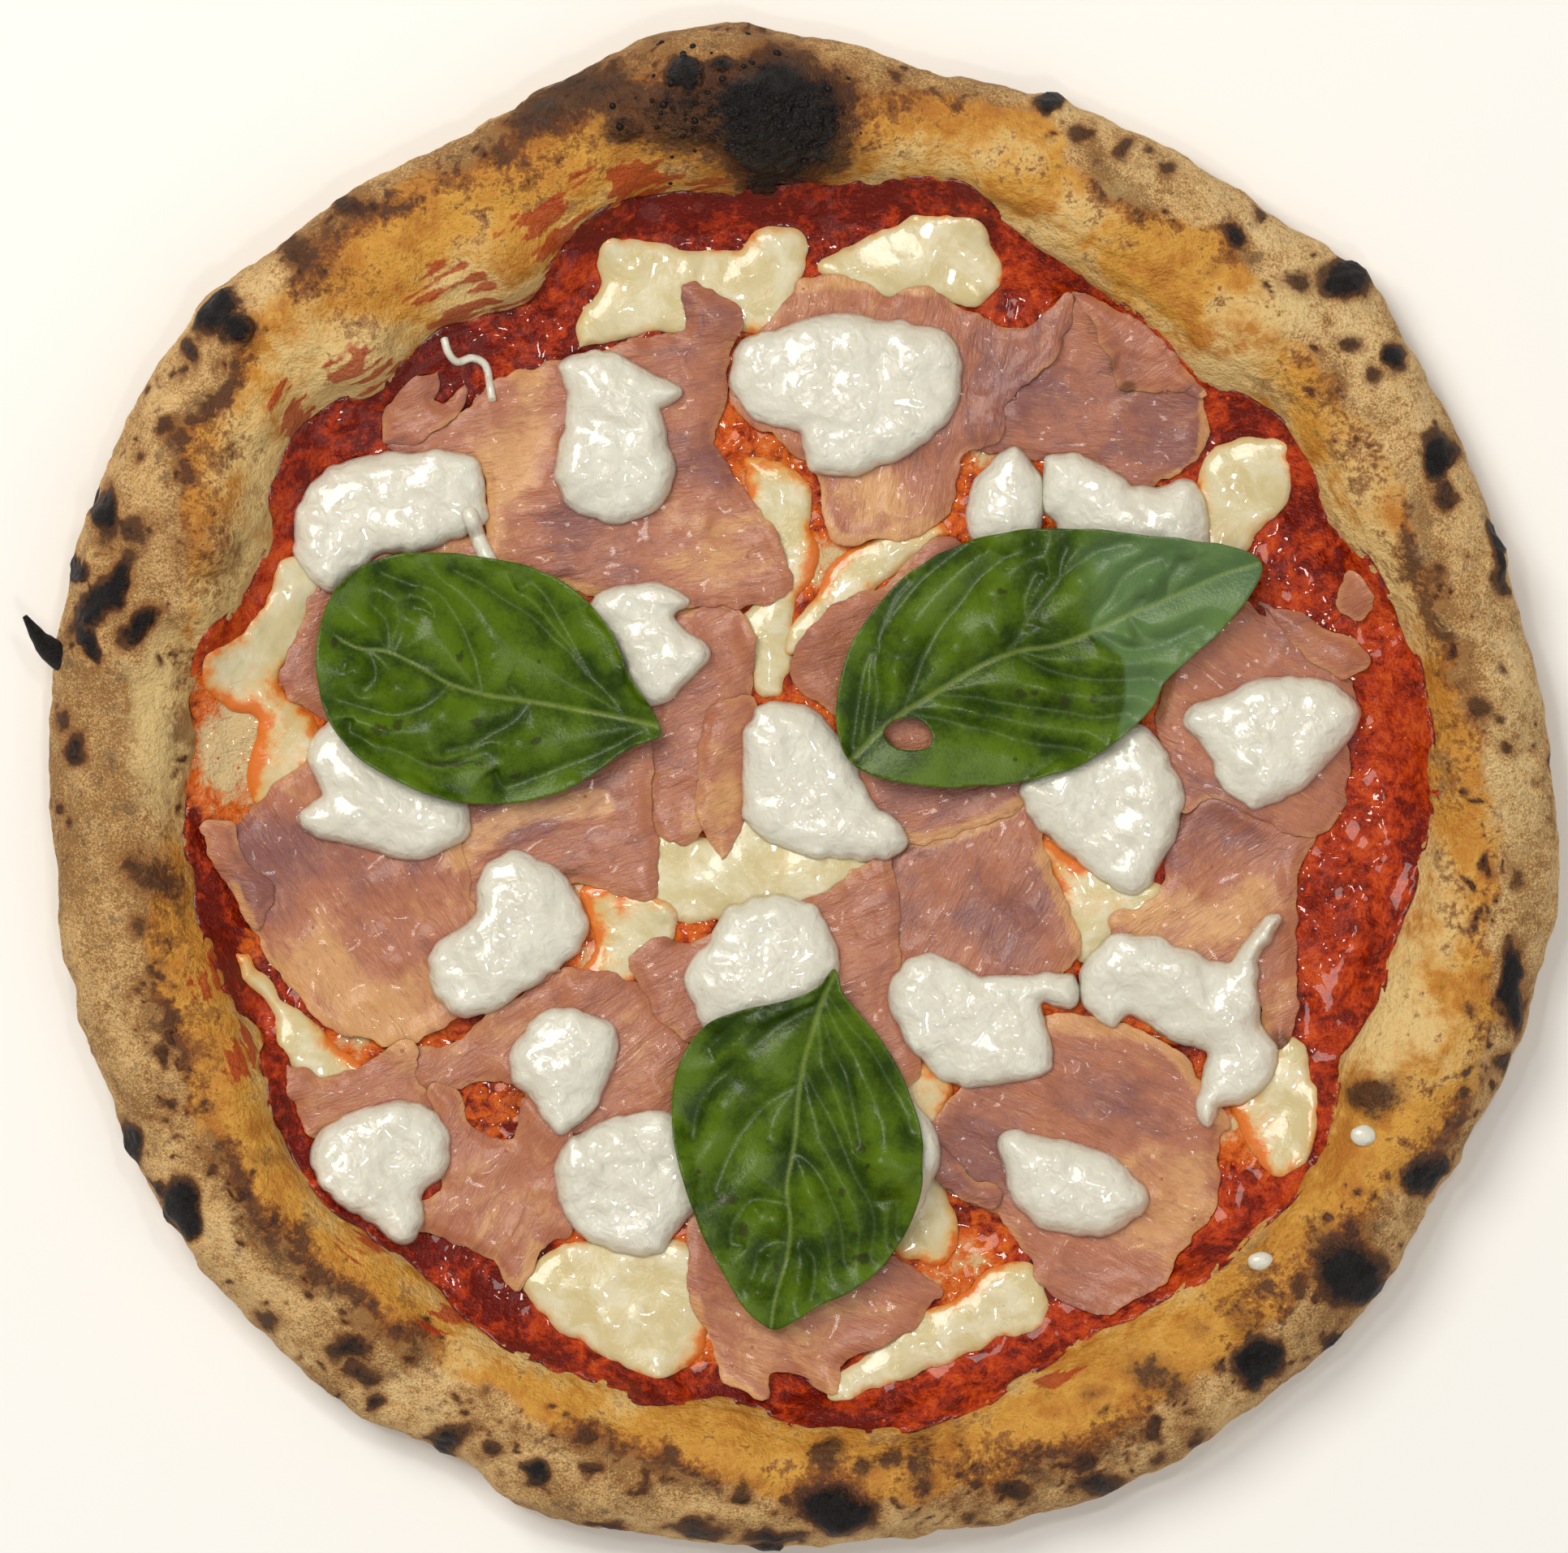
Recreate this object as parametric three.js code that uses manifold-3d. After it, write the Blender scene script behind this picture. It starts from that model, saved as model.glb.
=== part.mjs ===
// A round pizza with a puffed, leopard-spotted rim, seen from above: tomato sauce, melted mozzarella,
// folded slices of cooked ham, dollops of stracciatella and three basil leaves.
//
// Units are millimetres and +Z is up. The pizza lies on z = 0 with the middle of its bounding box over
// the origin. The toppings are stacked in the order in which they were laid: each one is a flat outline,
// split into triangles and then lowered onto whatever already lies beneath it.
import * as THREE from "three";
import Module from "manifold-3d";
import { mergeVertices } from "three/addons/utils/BufferGeometryUtils.js";

const wasm = await Module();
wasm.setup();

// ---------------------------------------------------------------- driving dimensions, in millimetres
const PIZZA_WIDTH = 316; // from the charred tip on the left to the right edge
const RIM_HEIGHT = 25;
const RIM_UNEVENNESS = 0.8; // how far the crest wanders up and down
const FLOOR_HEIGHT = 4; // the top of the thin dough under the sauce
const UNDERSIDE_LIFT = 9; // how far the rim curls in under its widest line
const WIDEST_HEIGHT = 0.42 * RIM_HEIGHT;
const SAUCE_DEPTH = 1.6;
const SAUCE_RIPPLE = 0.8;
const MOZZARELLA = { height: 2.2, edge: 0.7, shoulder: 6 };
const DOLLOP = { height: 6.5, edge: 1.2, shoulder: 8 };
const HAM_THICKNESS = 1.2;
const FOLD_SUNK = 0.5; // how deep a fold sinks into its own slice, so that the two are one solid
const LEAF_THICKNESS = 0.8;
const LEAF_ARCH = 3; // how far the midrib stands above the leaf's edges
const GAP = 0.3; // left between two pieces that touch
const WALL_GAP = 1.2; // kept between a topping's outline and the rim

// ---------------------------------------------------------------- mesh sizes
const RIM_STATIONS = 120;
const ARC_STEPS = 5; // steps of each of the three rounded quarters of the rim's section
const SAUCE_STATIONS = 84;
const MAP_CELL = 1; // side of a cell of the height map
const SPACING = { sauce: 16, mozzarella: 9, ham: 10, dollop: 6.5, leaf: 7.5 };

// ---------------------------------------------------------------- the photograph's frame
// Outlines are written in pixels of the 1932 x 1913 photograph, which looks straight down.
const PHOTO_CENTRE = [974, 963];
const PHOTO_PIZZA_WIDTH = 1897;
const SCALE = PIZZA_WIDTH / PHOTO_PIZZA_WIDTH;
const toPlan = ([px, py]) =>
  new THREE.Vector2((px - PHOTO_CENTRE[0]) * SCALE, (PHOTO_CENTRE[1] - py) * SCALE);

// The rim's outer edge and the foot of its inner wall, clockwise from the top.
const RIM_OUTER = [
  [885, 18], [975, 43], [1100, 72], [1250, 108], [1390, 160], [1520, 228], [1610, 292], [1700, 350],
  [1750, 458], [1825, 595], [1870, 730], [1905, 905], [1921, 1085], [1893, 1240], [1830, 1370],
  [1755, 1500], [1690, 1605], [1600, 1695], [1490, 1775], [1300, 1860], [1110, 1898], [955, 1906],
  [790, 1893], [655, 1868], [590, 1812], [540, 1768], [490, 1776], [395, 1712], [250, 1572],
  [140, 1380], [78, 1180], [58, 980], [68, 810], [100, 655], [160, 505], [240, 390], [340, 296],
  [480, 212], [600, 152], [700, 92], [800, 44],
];
const RIM_INNER = [
  [930, 247], [1050, 236], [1185, 240], [1225, 272], [1300, 330], [1395, 398], [1475, 474],
  [1545, 505], [1598, 555], [1620, 635], [1690, 716], [1730, 810], [1752, 920], [1752, 1020],
  [1715, 1140], [1680, 1240], [1640, 1300], [1625, 1390], [1595, 1455], [1540, 1510], [1460, 1575],
  [1345, 1632], [1250, 1688], [1190, 1730], [1100, 1750], [1000, 1750], [895, 1712], [800, 1720],
  [725, 1685], [620, 1650], [540, 1570], [440, 1500], [385, 1450], [345, 1360], [330, 1265],
  [275, 1195], [252, 1090], [238, 985], [256, 890], [245, 825], [310, 745], [347, 660], [352, 575],
  [395, 515], [480, 487], [545, 415], [640, 392], [690, 335], [745, 270], [830, 252],
];

// Where the rim swells up or sinks: the place, the reach and the rise in millimetres.
const RIM_SWELLS = [
  { at: [885, 140], reach: 24, rise: 6 }, // the burnt dome at the top
  { at: [200, 640], reach: 28, rise: 4.5 }, // the big bubble on the left
  { at: [390, 360], reach: 20, rise: 3 },
  { at: [620, 200], reach: 18, rise: -2.5 },
  { at: [140, 900], reach: 22, rise: -2 },
  { at: [190, 1110], reach: 20, rise: 2 },
  { at: [1700, 640], reach: 24, rise: 2 },
  { at: [1840, 1000], reach: 22, rise: -1.5 },
  { at: [1760, 1290], reach: 18, rise: 2.5 },
  { at: [1560, 1620], reach: 20, rise: -1 },
  { at: [1060, 1810], reach: 20, rise: 2 },
  { at: [560, 1700], reach: 20, rise: -2 },
  { at: [330, 1470], reach: 18, rise: 1.5 },
  { at: [1330, 250], reach: 26, rise: 1 },
];

// Charred blisters on the rim, and two drops of stracciatella that fell there: the place and the half
// axes in millimetres. They are one with the rim.
const RIM_BLISTERS = [
  { at: [270, 384], half: [5, 5.5, 4.5] },
  { at: [300, 414], half: [4, 3.5, 3.5] },
  { at: [1675, 340], half: [3.4, 2.8, 2.8] },
  { at: [1294, 132], half: [4, 2.6, 2.6] },
  { at: [1843, 690], half: [2.8, 7, 4] },
  { at: [120, 705], half: [3.5, 9, 3.5] },
  { at: [222, 1490], half: [2.8, 4, 3] },
  { at: [1035, 1868], half: [4.5, 4, 3.5] },
];
const RIM_DROPS = [
  { at: [1552, 1552], half: [2.4, 1.7, 1.6] },
  { at: [1677, 1397], half: [2.3, 1.9, 1.7] },
];
const CHAR_TIP = { from: [92, 815], to: [27, 757], radius: 3.2, z: 11 }; // the burnt scrap on the left

// ---------------------------------------------------------------- the toppings' outlines
const MOZZARELLA_PATCHES = [
  // the two patches at the top
  [[703, 405], [735, 340], [760, 303], [905, 312], [935, 288], [985, 290], [980, 380], [930, 417],
    [845, 402], [712, 436]],
  [[1017, 322], [1100, 286], [1180, 270], [1212, 288], [1230, 345], [1200, 384], [1145, 364],
    [1090, 370], [1025, 345]],
  // between the slices above the middle
  [[912, 562], [965, 564], [1003, 612], [1000, 680], [980, 735], [986, 785], [968, 855], [930, 850],
    [912, 770], [942, 700], [922, 615]],
  [[1160, 640], [1175, 658], [1105, 710], [1030, 775], [968, 805], [1005, 730], [1045, 668],
    [1110, 648]],
  // the pool in the middle
  [[806, 1010], [865, 1028], [925, 1003], [1000, 1045], [1080, 1065], [1000, 1105], [900, 1142],
    [800, 1112]],
  // along the left wall
  [[358, 692], [398, 730], [370, 800], [350, 845], [400, 905], [385, 965], [340, 1010], [300, 980],
    [318, 885], [258, 842], [262, 808], [325, 742]],
  [[288, 1178], [312, 1172], [360, 1240], [440, 1310], [450, 1345], [390, 1362], [345, 1290]],
  // under and between the lower slices
  [[705, 1095], [770, 1088], [830, 1125], [820, 1170], [765, 1225], [710, 1250], [695, 1215],
    [728, 1165]],
  [[645, 1560], [740, 1534], [850, 1548], [872, 1620], [865, 1672], [800, 1692], [720, 1660],
    [655, 1605]],
  [[1022, 1722], [1035, 1685], [1120, 1632], [1165, 1595], [1258, 1560], [1285, 1600], [1262, 1648],
    [1150, 1682], [1080, 1715]],
  [[1100, 1310], [1150, 1303], [1180, 1350], [1145, 1430], [1182, 1530], [1160, 1562], [1102, 1540],
    [1108, 1420]],
  // along the right wall
  [[1490, 560], [1580, 545], [1600, 575], [1566, 635], [1520, 690], [1485, 680]],
  [[1590, 1275], [1615, 1310], [1616, 1400], [1575, 1440], [1530, 1405], [1512, 1355], [1565, 1318]],
  [[1275, 1040], [1340, 1055], [1440, 1090], [1390, 1145], [1345, 1180], [1300, 1110]],
];

// Each slice may have a fold: the part of it that is turned back over itself.
const HAM_SLICES = [
  // right of the middle
  { outline: [[1095, 1052], [1180, 1013], [1268, 980], [1285, 1045], [1334, 1165], [1302, 1206],
    [1230, 1222], [1105, 1210], [1088, 1110]] },
  // below the middle on the left
  { outline: [[500, 1302], [560, 1280], [635, 1232], [700, 1195], [790, 1212], [855, 1290],
    [865, 1370], [780, 1385], [705, 1410], [655, 1385], [635, 1337], [565, 1340], [515, 1345]] },
  // beside the left leaf's stem, and the strip beside that
  { outline: [[745, 860], [790, 790], [850, 745], [905, 748], [928, 810], [922, 890], [880, 962],
    [848, 1035], [808, 1018], [795, 930]] },
  { outline: [[880, 868], [930, 862], [920, 985], [892, 1062], [872, 1045], [857, 982]] },
  // under the right leaf
  { outline: [[1165, 662], [1080, 722], [985, 784], [985, 845], [1030, 885], [1060, 970],
    [1090, 1025], [1130, 1037], [1240, 1003], [1300, 950], [1310, 850], [1250, 735]] },
  // behind the lower leaf
  { outline: [[812, 1150], [850, 1163], [930, 1130], [1012, 1100], [1095, 1056], [1110, 1185],
    [1102, 1240], [1135, 1300], [1110, 1345], [960, 1345], [868, 1300], [772, 1192]] },
  // under the left leaf's lower half
  { outline: [[555, 975], [640, 950], [792, 903], [803, 990], [806, 1102], [705, 1088], [640, 1125],
    [585, 1165], [545, 1150], [560, 1060]] },
  // the large one on the left, curled up at the wall
  { outline: [[258, 1025], [288, 1012], [335, 962], [400, 925], [480, 985], [565, 1030],
    [575, 1110], [620, 1180], [692, 1196], [590, 1245], [485, 1288], [410, 1265], [335, 1195],
    [285, 1095]],
    fold: [[250, 1022], [285, 1010], [298, 1055], [330, 1098], [312, 1145], [272, 1075]] },
  // under the left leaf
  { outline: [[405, 700], [360, 785], [344, 835], [362, 864], [480, 905], [600, 885], [655, 800],
    [645, 700], [560, 645], [465, 668]] },
  // the widest, upper left, and the curl at its end
  { outline: [[600, 470], [680, 446], [780, 420], [850, 402], [838, 352], [862, 345], [906, 390],
    [890, 490], [880, 548], [905, 592], [978, 725], [850, 752], [700, 722], [600, 690], [588, 565],
    [500, 562], [478, 545], [560, 510]] },
  { outline: [[468, 545], [472, 512], [535, 455], [541, 472], [530, 492], [548, 500], [572, 476],
    [565, 503], [530, 530], [490, 548]] },
  // upper right
  { outline: [[1300, 380], [1325, 362], [1400, 400], [1486, 480], [1478, 562], [1448, 590],
    [1405, 602], [1340, 572], [1215, 555], [1195, 530], [1235, 490], [1290, 430]],
    fold: [[1322, 360], [1400, 393], [1484, 482], [1440, 476], [1385, 486], [1374, 450],
      [1345, 402]] },
  // top
  { outline: [[990, 345], [1060, 343], [1100, 365], [1145, 352], [1185, 372], [1265, 406],
    [1318, 360], [1300, 440], [1238, 490], [1234, 537], [1182, 562], [1172, 620], [1145, 645],
    [1035, 668], [1002, 585], [915, 508], [903, 455], [945, 395]] },
  // right, with a browned tip, and the one above it
  { outline: [[1498, 972], [1550, 1003], [1622, 1025], [1597, 1075], [1600, 1205], [1580, 1293],
    [1560, 1270], [1550, 1235], [1400, 1205], [1368, 1128], [1430, 1102], [1452, 1008]] },
  { outline: [[1425, 880], [1440, 815], [1480, 765], [1530, 738], [1600, 790], [1670, 838],
    [1668, 920], [1650, 1008], [1580, 1024], [1498, 984], [1456, 1006], [1435, 945]],
    fold: [[1548, 742], [1592, 755], [1682, 804], [1674, 826], [1650, 836], [1602, 797]] },
  // lower left: the flap, and the crumpled one
  { outline: [[352, 1308], [400, 1325], [455, 1312], [505, 1288], [512, 1332], [540, 1350],
    [530, 1375], [450, 1390], [385, 1398], [358, 1350]] },
  { outline: [[530, 1342], [562, 1350], [585, 1398], [632, 1402], [645, 1350], [702, 1402],
    [702, 1520], [662, 1535], [638, 1590], [600, 1552], [512, 1518], [512, 1485], [545, 1455]] },
  // bottom
  { outline: [[855, 1490], [850, 1570], [885, 1690], [940, 1733], [950, 1692], [1025, 1716],
    [1035, 1682], [1110, 1645], [1164, 1590], [1090, 1550], [1000, 1480], [920, 1470]] },
  // the round one, lower right
  { outline: [[1290, 1255], [1400, 1265], [1450, 1292], [1515, 1385], [1500, 1405], [1500, 1475],
    [1440, 1570], [1358, 1622], [1285, 1585], [1235, 1500], [1152, 1442], [1145, 1395],
    [1205, 1325]],
    fold: [[1148, 1440], [1146, 1402], [1200, 1446], [1238, 1468], [1226, 1488], [1168, 1464]] },
  // a scrap on the sauce
  { outline: [[1660, 700], [1690, 710], [1700, 735], [1680, 764], [1645, 748]] },
];

const STRACCIATELLA_DOLLOPS = [
  // the upper row
  [[440, 566], [530, 557], [585, 570], [591, 612], [600, 638], [550, 665], [508, 682], [465, 682],
    [408, 727], [370, 690], [364, 655], [375, 610], [398, 585]],
  [[690, 448], [748, 431], [800, 460], [836, 480], [826, 497], [812, 505], [830, 572], [820, 605],
    [765, 642], [708, 625], [687, 580], [699, 510], [702, 475]],
  [[925, 420], [1050, 388], [1130, 403], [1165, 411], [1182, 440], [1178, 495], [1135, 545],
    [1065, 580], [1000, 578], [985, 527], [940, 518], [904, 480], [908, 440]],
  // round the left leaf
  [[722, 755], [745, 730], [828, 725], [850, 740], [828, 760], [869, 800], [855, 830], [804, 870],
    [785, 860], [765, 800]],
  [[408, 888], [379, 932], [400, 980], [372, 1003], [378, 1018], [440, 1040], [505, 1057],
    [574, 1024], [569, 987], [500, 950], [440, 900]],
  // across the middle
  [[640, 1049], [704, 1095], [717, 1166], [685, 1190], [592, 1246], [550, 1245], [532, 1180],
    [584, 1130], [590, 1090], [606, 1063]],
  [[688, 1242], [746, 1264], [757, 1290], [736, 1355], [690, 1395], [655, 1357], [631, 1326],
    [655, 1260]],
  [[903, 1115], [998, 1118], [1020, 1145], [1030, 1200], [1005, 1235], [905, 1275], [868, 1265],
    [847, 1195], [876, 1160]],
  [[960, 868], [1010, 884], [1047, 930], [1071, 985], [1118, 1035], [1070, 1058], [960, 1041],
    [919, 1000], [928, 880]],
  // the right side, the last two joined by a thread
  [[1500, 858], [1590, 835], [1660, 850], [1675, 873], [1642, 932], [1585, 980], [1535, 992],
    [1484, 915], [1464, 885]],
  [[1264, 965], [1350, 922], [1395, 893], [1440, 940], [1461, 985], [1420, 1080], [1395, 1097],
    [1343, 1070], [1272, 1008]],
  [[1335, 1190], [1375, 1156], [1430, 1158], [1490, 1186], [1520, 1183], [1560, 1134], [1578, 1131],
    [1550, 1182], [1556, 1262], [1577, 1298], [1537, 1356], [1498, 1362], [1490, 1386], [1478, 1368],
    [1490, 1300], [1440, 1280], [1393, 1250], [1370, 1265], [1330, 1228]],
  [[1099, 1212], [1150, 1176], [1215, 1208], [1300, 1200], [1324, 1203], [1320, 1235], [1283, 1238],
    [1299, 1315], [1240, 1330], [1180, 1336], [1120, 1290]],
  // the lower row
  [[398, 1397], [455, 1366], [530, 1370], [550, 1422], [520, 1472], [506, 1525], [465, 1525],
    [424, 1482], [390, 1450]],
  [[700, 1405], [770, 1377], [838, 1378], [860, 1478], [822, 1530], [785, 1547], [715, 1520],
    [684, 1460]],
  [[1240, 1402], [1312, 1410], [1377, 1436], [1412, 1480], [1376, 1516], [1350, 1524], [1262, 1494],
    [1242, 1450]],
  // the two above the right leaf, and the one that the lower leaf almost hides
  [[1212, 585], [1255, 549], [1284, 600], [1272, 668], [1240, 690], [1195, 655]],
  [[1286, 567], [1340, 563], [1402, 600], [1470, 595], [1489, 650], [1480, 690], [1370, 700],
    [1310, 660]],
  [[1062, 1372], [1118, 1358], [1152, 1398], [1146, 1460], [1122, 1500], [1066, 1492], [1040, 1430]],
];

// Each leaf's outline starts at its stem. Its midrib runs from the stem to the tip.
const BASIL_LEAVES = [
  { name: "basil_left",
    outline: [[815, 903], [775, 832], [750, 775], [700, 720], [620, 691], [490, 683], [420, 718],
      [391, 790], [400, 872], [445, 935], [545, 983], [625, 989], [700, 971], [775, 922]],
    midrib: [[815, 903], [740, 880], [600, 850], [470, 802], [393, 790]] },
  { name: "basil_right",
    outline: [[1045, 935], [1032, 860], [1064, 768], [1150, 686], [1260, 653], [1430, 662],
      [1554, 693], [1502, 778], [1436, 838], [1420, 870], [1340, 937], [1230, 966], [1100, 962]],
    hole: [[1088, 904], [1100, 888], [1124, 883], [1142, 891], [1150, 908], [1140, 923],
      [1104, 922]],
    midrib: [[1045, 935], [1130, 860], [1235, 800], [1345, 782], [1440, 740], [1554, 693]] },
  { name: "basil_lower",
    outline: [[1028, 1194], [1040, 1226], [1092, 1292], [1133, 1390], [1130, 1482], [1080, 1566],
      [1000, 1613], [950, 1636], [895, 1576], [835, 1430], [834, 1320], [880, 1256], [960, 1235],
      [1010, 1215]],
    midrib: [[1028, 1194], [988, 1300], [976, 1400], [972, 1500], [950, 1636]] },
];

// ---------------------------------------------------------------- colours and finishes
const finish = (color, roughness) =>
  new THREE.MeshStandardMaterial({ color, roughness, metalness: 0 });
const FINISH = {
  crust: finish(0xb98b52, 0.85),
  sauce: finish(0x8e2412, 0.35),
  mozzarella: finish(0xe6d9a8, 0.35),
  ham: finish(0xc98472, 0.45),
  dollop: finish(0xe9e7dc, 0.3),
  leaf: finish(0x3f6b1c, 0.4),
};

// ---------------------------------------------------------------- helpers
// A seeded draw in 0..1, so that every run gives the same pizza.
function seededDraw(seed) {
  let state = seed;
  return () => {
    state = (state * 1664525 + 1013904223) % 4294967296;
    return state / 4294967296;
  };
}

// A closed curve through the points, with `perPoint` samples for each of them.
function closedCurve(points, perPoint) {
  const curve = new THREE.CatmullRomCurve3(
    points.map((p) => new THREE.Vector3(p.x, p.y, 0)), true, "centripetal");
  const count = points.length * perPoint;
  return Array.from({ length: count }, (_, i) => {
    const p = curve.getPoint(i / count);
    return new THREE.Vector2(p.x, p.y);
  });
}

// How far an outline is from the origin along a direction.
function reachAlong(outline, angle) {
  const direction = new THREE.Vector2(Math.cos(angle), Math.sin(angle));
  let reach = 0;
  outline.forEach((a, i) => {
    const side = outline[(i + 1) % outline.length].clone().sub(a);
    const across = direction.cross(side);
    if (Math.abs(across) < 1e-9) return;
    const along = a.cross(side) / across;
    const share = a.cross(direction) / across;
    if (along > 0 && share >= 0 && share <= 1) reach = Math.max(reach, along);
  });
  return reach;
}

function isInside(p, outline) {
  let inside = false;
  outline.forEach((a, i) => {
    const b = outline[(i + 1) % outline.length];
    const crosses = a.y > p.y !== b.y > p.y;
    if (crosses && p.x < ((b.x - a.x) * (p.y - a.y)) / (b.y - a.y) + a.x) inside = !inside;
  });
  return inside;
}

function distanceToSide(p, a, b) {
  const side = b.clone().sub(a);
  const share = THREE.MathUtils.clamp(p.clone().sub(a).dot(side) / side.lengthSq(), 0, 1);
  return p.distanceTo(a.clone().addScaledVector(side, share));
}

const distanceToOutline = (p, outline) =>
  Math.min(...outline.map((a, i) => distanceToSide(p, a, outline[(i + 1) % outline.length])));

const distanceToLine = (p, line) =>
  Math.min(...line.slice(1).map((b, i) => distanceToSide(p, line[i], b)));

// ---------------------------------------------------------------- the rim
const outerEdge = closedCurve(RIM_OUTER.map(toPlan), 3);
const innerEdge = closedCurve(RIM_INNER.map(toPlan), 3);
const swells = RIM_SWELLS.map((swell) => ({ ...swell, at: toPlan(swell.at) }));

function swellAt(p) {
  const rises = swells.map(({ at, reach, rise }) =>
    rise * Math.exp((-2 * p.distanceToSquared(at)) / reach ** 2));
  return rises.reduce((sum, rise) => sum + rise, 0);
}

// The radii and heights that make up the rim's section at one angle.
function rimAt(angle) {
  const outer = reachAlong(outerEdge, angle);
  const inner = reachAlong(innerEdge, angle);
  // The inner wall slopes more gently at the upper left, so the crest is further out there.
  const towardsUpperLeft = Math.max(0, Math.cos(angle - 2.2)) ** 6;
  const crest = inner + (outer - inner) * (0.46 + 0.2 * towardsUpperLeft);
  const wander = RIM_UNEVENNESS * (Math.sin(7 * angle + 1) + 0.6 * Math.sin(13 * angle));
  const crestPoint = new THREE.Vector2(crest * Math.cos(angle), crest * Math.sin(angle));
  return { outer, inner, crest, top: RIM_HEIGHT + wander + swellAt(crestPoint) };
}

// The height of the rim's upper face: a quarter of an ellipse on each side of the crest.
function rimHeight({ outer, inner, crest, top }, radius) {
  const outside = radius > crest;
  const foot = outside ? WIDEST_HEIGHT : FLOOR_HEIGHT;
  const share = Math.min(1, (radius - crest) / ((outside ? outer : inner) - crest));
  return foot + (top - foot) * Math.sqrt(1 - share ** 2);
}

// The section as [radius, height] pairs, from the underside round the outside and over the crest to
// the foot of the inner wall.
function rimSection(angle) {
  const rim = rimAt(angle);
  const section = [];
  const quarter = (i) => (i / ARC_STEPS) * (Math.PI / 2);
  for (let i = 0; i < ARC_STEPS; i++)
    section.push([
      rim.outer - UNDERSIDE_LIFT * (1 - Math.sin(quarter(i))),
      WIDEST_HEIGHT * (1 - Math.cos(quarter(i))),
    ]);
  for (let i = 0; i < ARC_STEPS; i++) {
    const radius = rim.crest + (rim.outer - rim.crest) * Math.cos(quarter(i));
    section.push([radius, rimHeight(rim, radius)]);
  }
  for (let i = 0; i <= ARC_STEPS; i++) {
    const radius = rim.crest - (rim.crest - rim.inner) * Math.sin(quarter(i));
    section.push([radius, rimHeight(rim, radius)]);
  }
  return section;
}

// The dough: the ring of sections, closed by a flat underside and a flat floor.
function doughGeometry() {
  const rows = 3 * ARC_STEPS + 1;
  const positions = [];
  for (let k = 0; k < RIM_STATIONS; k++) {
    const angle = (k / RIM_STATIONS) * 2 * Math.PI;
    for (const [radius, z] of rimSection(angle))
      positions.push(radius * Math.cos(angle), radius * Math.sin(angle), z);
  }
  const underside = RIM_STATIONS * rows;
  const floor = underside + 1;
  positions.push(0, 0, 0, 0, 0, FLOOR_HEIGHT);
  const index = [];
  for (let k = 0; k < RIM_STATIONS; k++) {
    const here = k * rows;
    const next = ((k + 1) % RIM_STATIONS) * rows;
    for (let j = 0; j < rows - 1; j++)
      index.push(here + j, next + j, next + j + 1, here + j, next + j + 1, here + j + 1);
    index.push(underside, next, here);
    index.push(floor, here + rows - 1, next + rows - 1);
  }
  return indexedGeometry(positions, index);
}

// ---------------------------------------------------------------- solids for joining
function indexedGeometry(positions, index) {
  return new THREE.BufferGeometry()
    .setAttribute("position", new THREE.Float32BufferAttribute(positions, 3))
    .setIndex(index);
}

function toSolid(geometry) {
  const bare = geometry.clone();
  bare.deleteAttribute("normal");
  bare.deleteAttribute("uv");
  const merged = mergeVertices(bare, 1e-4);
  return new wasm.Manifold(new wasm.Mesh({
    numProp: 3,
    vertProperties: new Float32Array(merged.attributes.position.array),
    triVerts: new Uint32Array(merged.index.array),
  }));
}

function toGeometry(solid) {
  const mesh = solid.getMesh();
  return indexedGeometry([...mesh.vertProperties], [...mesh.triVerts]);
}

function blisterGeometry({ at, half }) {
  const SUNK = 0.3; // the share of its height by which a blister's middle is below the rim's face
  const p = toPlan(at);
  const z = rimHeight(rimAt(p.angle()), p.length()) - SUNK * half[2];
  return new THREE.IcosahedronGeometry(1, 1).scale(...half).translate(p.x, p.y, z);
}

function charTipGeometry() {
  const from = toPlan(CHAR_TIP.from);
  const to = toPlan(CHAR_TIP.to);
  const length = from.distanceTo(to);
  const direction = to.clone().sub(from).angle();
  return new THREE.ConeGeometry(CHAR_TIP.radius, length, 7)
    .rotateZ(direction - Math.PI / 2)
    .translate((from.x + to.x) / 2, (from.y + to.y) / 2, CHAR_TIP.z);
}

function crustGeometry() {
  const bits = [...RIM_BLISTERS, ...RIM_DROPS].map(blisterGeometry);
  bits.push(charTipGeometry());
  const joined = bits.reduce((solid, bit) => solid.add(toSolid(bit)), toSolid(doughGeometry()));
  return toGeometry(joined);
}

// ---------------------------------------------------------------- flat meshes
// Three corners with the circle through them.
function withCircle(corners, points) {
  const [p, q, r] = corners.map((k) => points[k]);
  const [pp, qq, rr] = [p, q, r].map((v) => v.lengthSq());
  const d = 2 * (p.x * (q.y - r.y) + q.x * (r.y - p.y) + r.x * (p.y - q.y));
  const centre = new THREE.Vector2(
    (pp * (q.y - r.y) + qq * (r.y - p.y) + rr * (p.y - q.y)) / d,
    (pp * (r.x - q.x) + qq * (p.x - r.x) + rr * (q.x - p.x)) / d);
  return { corners, centre, reach: centre.distanceToSquared(p) };
}

const sidesOf = ([a, b, c]) => [[a, b], [b, c], [c, a]];

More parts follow.
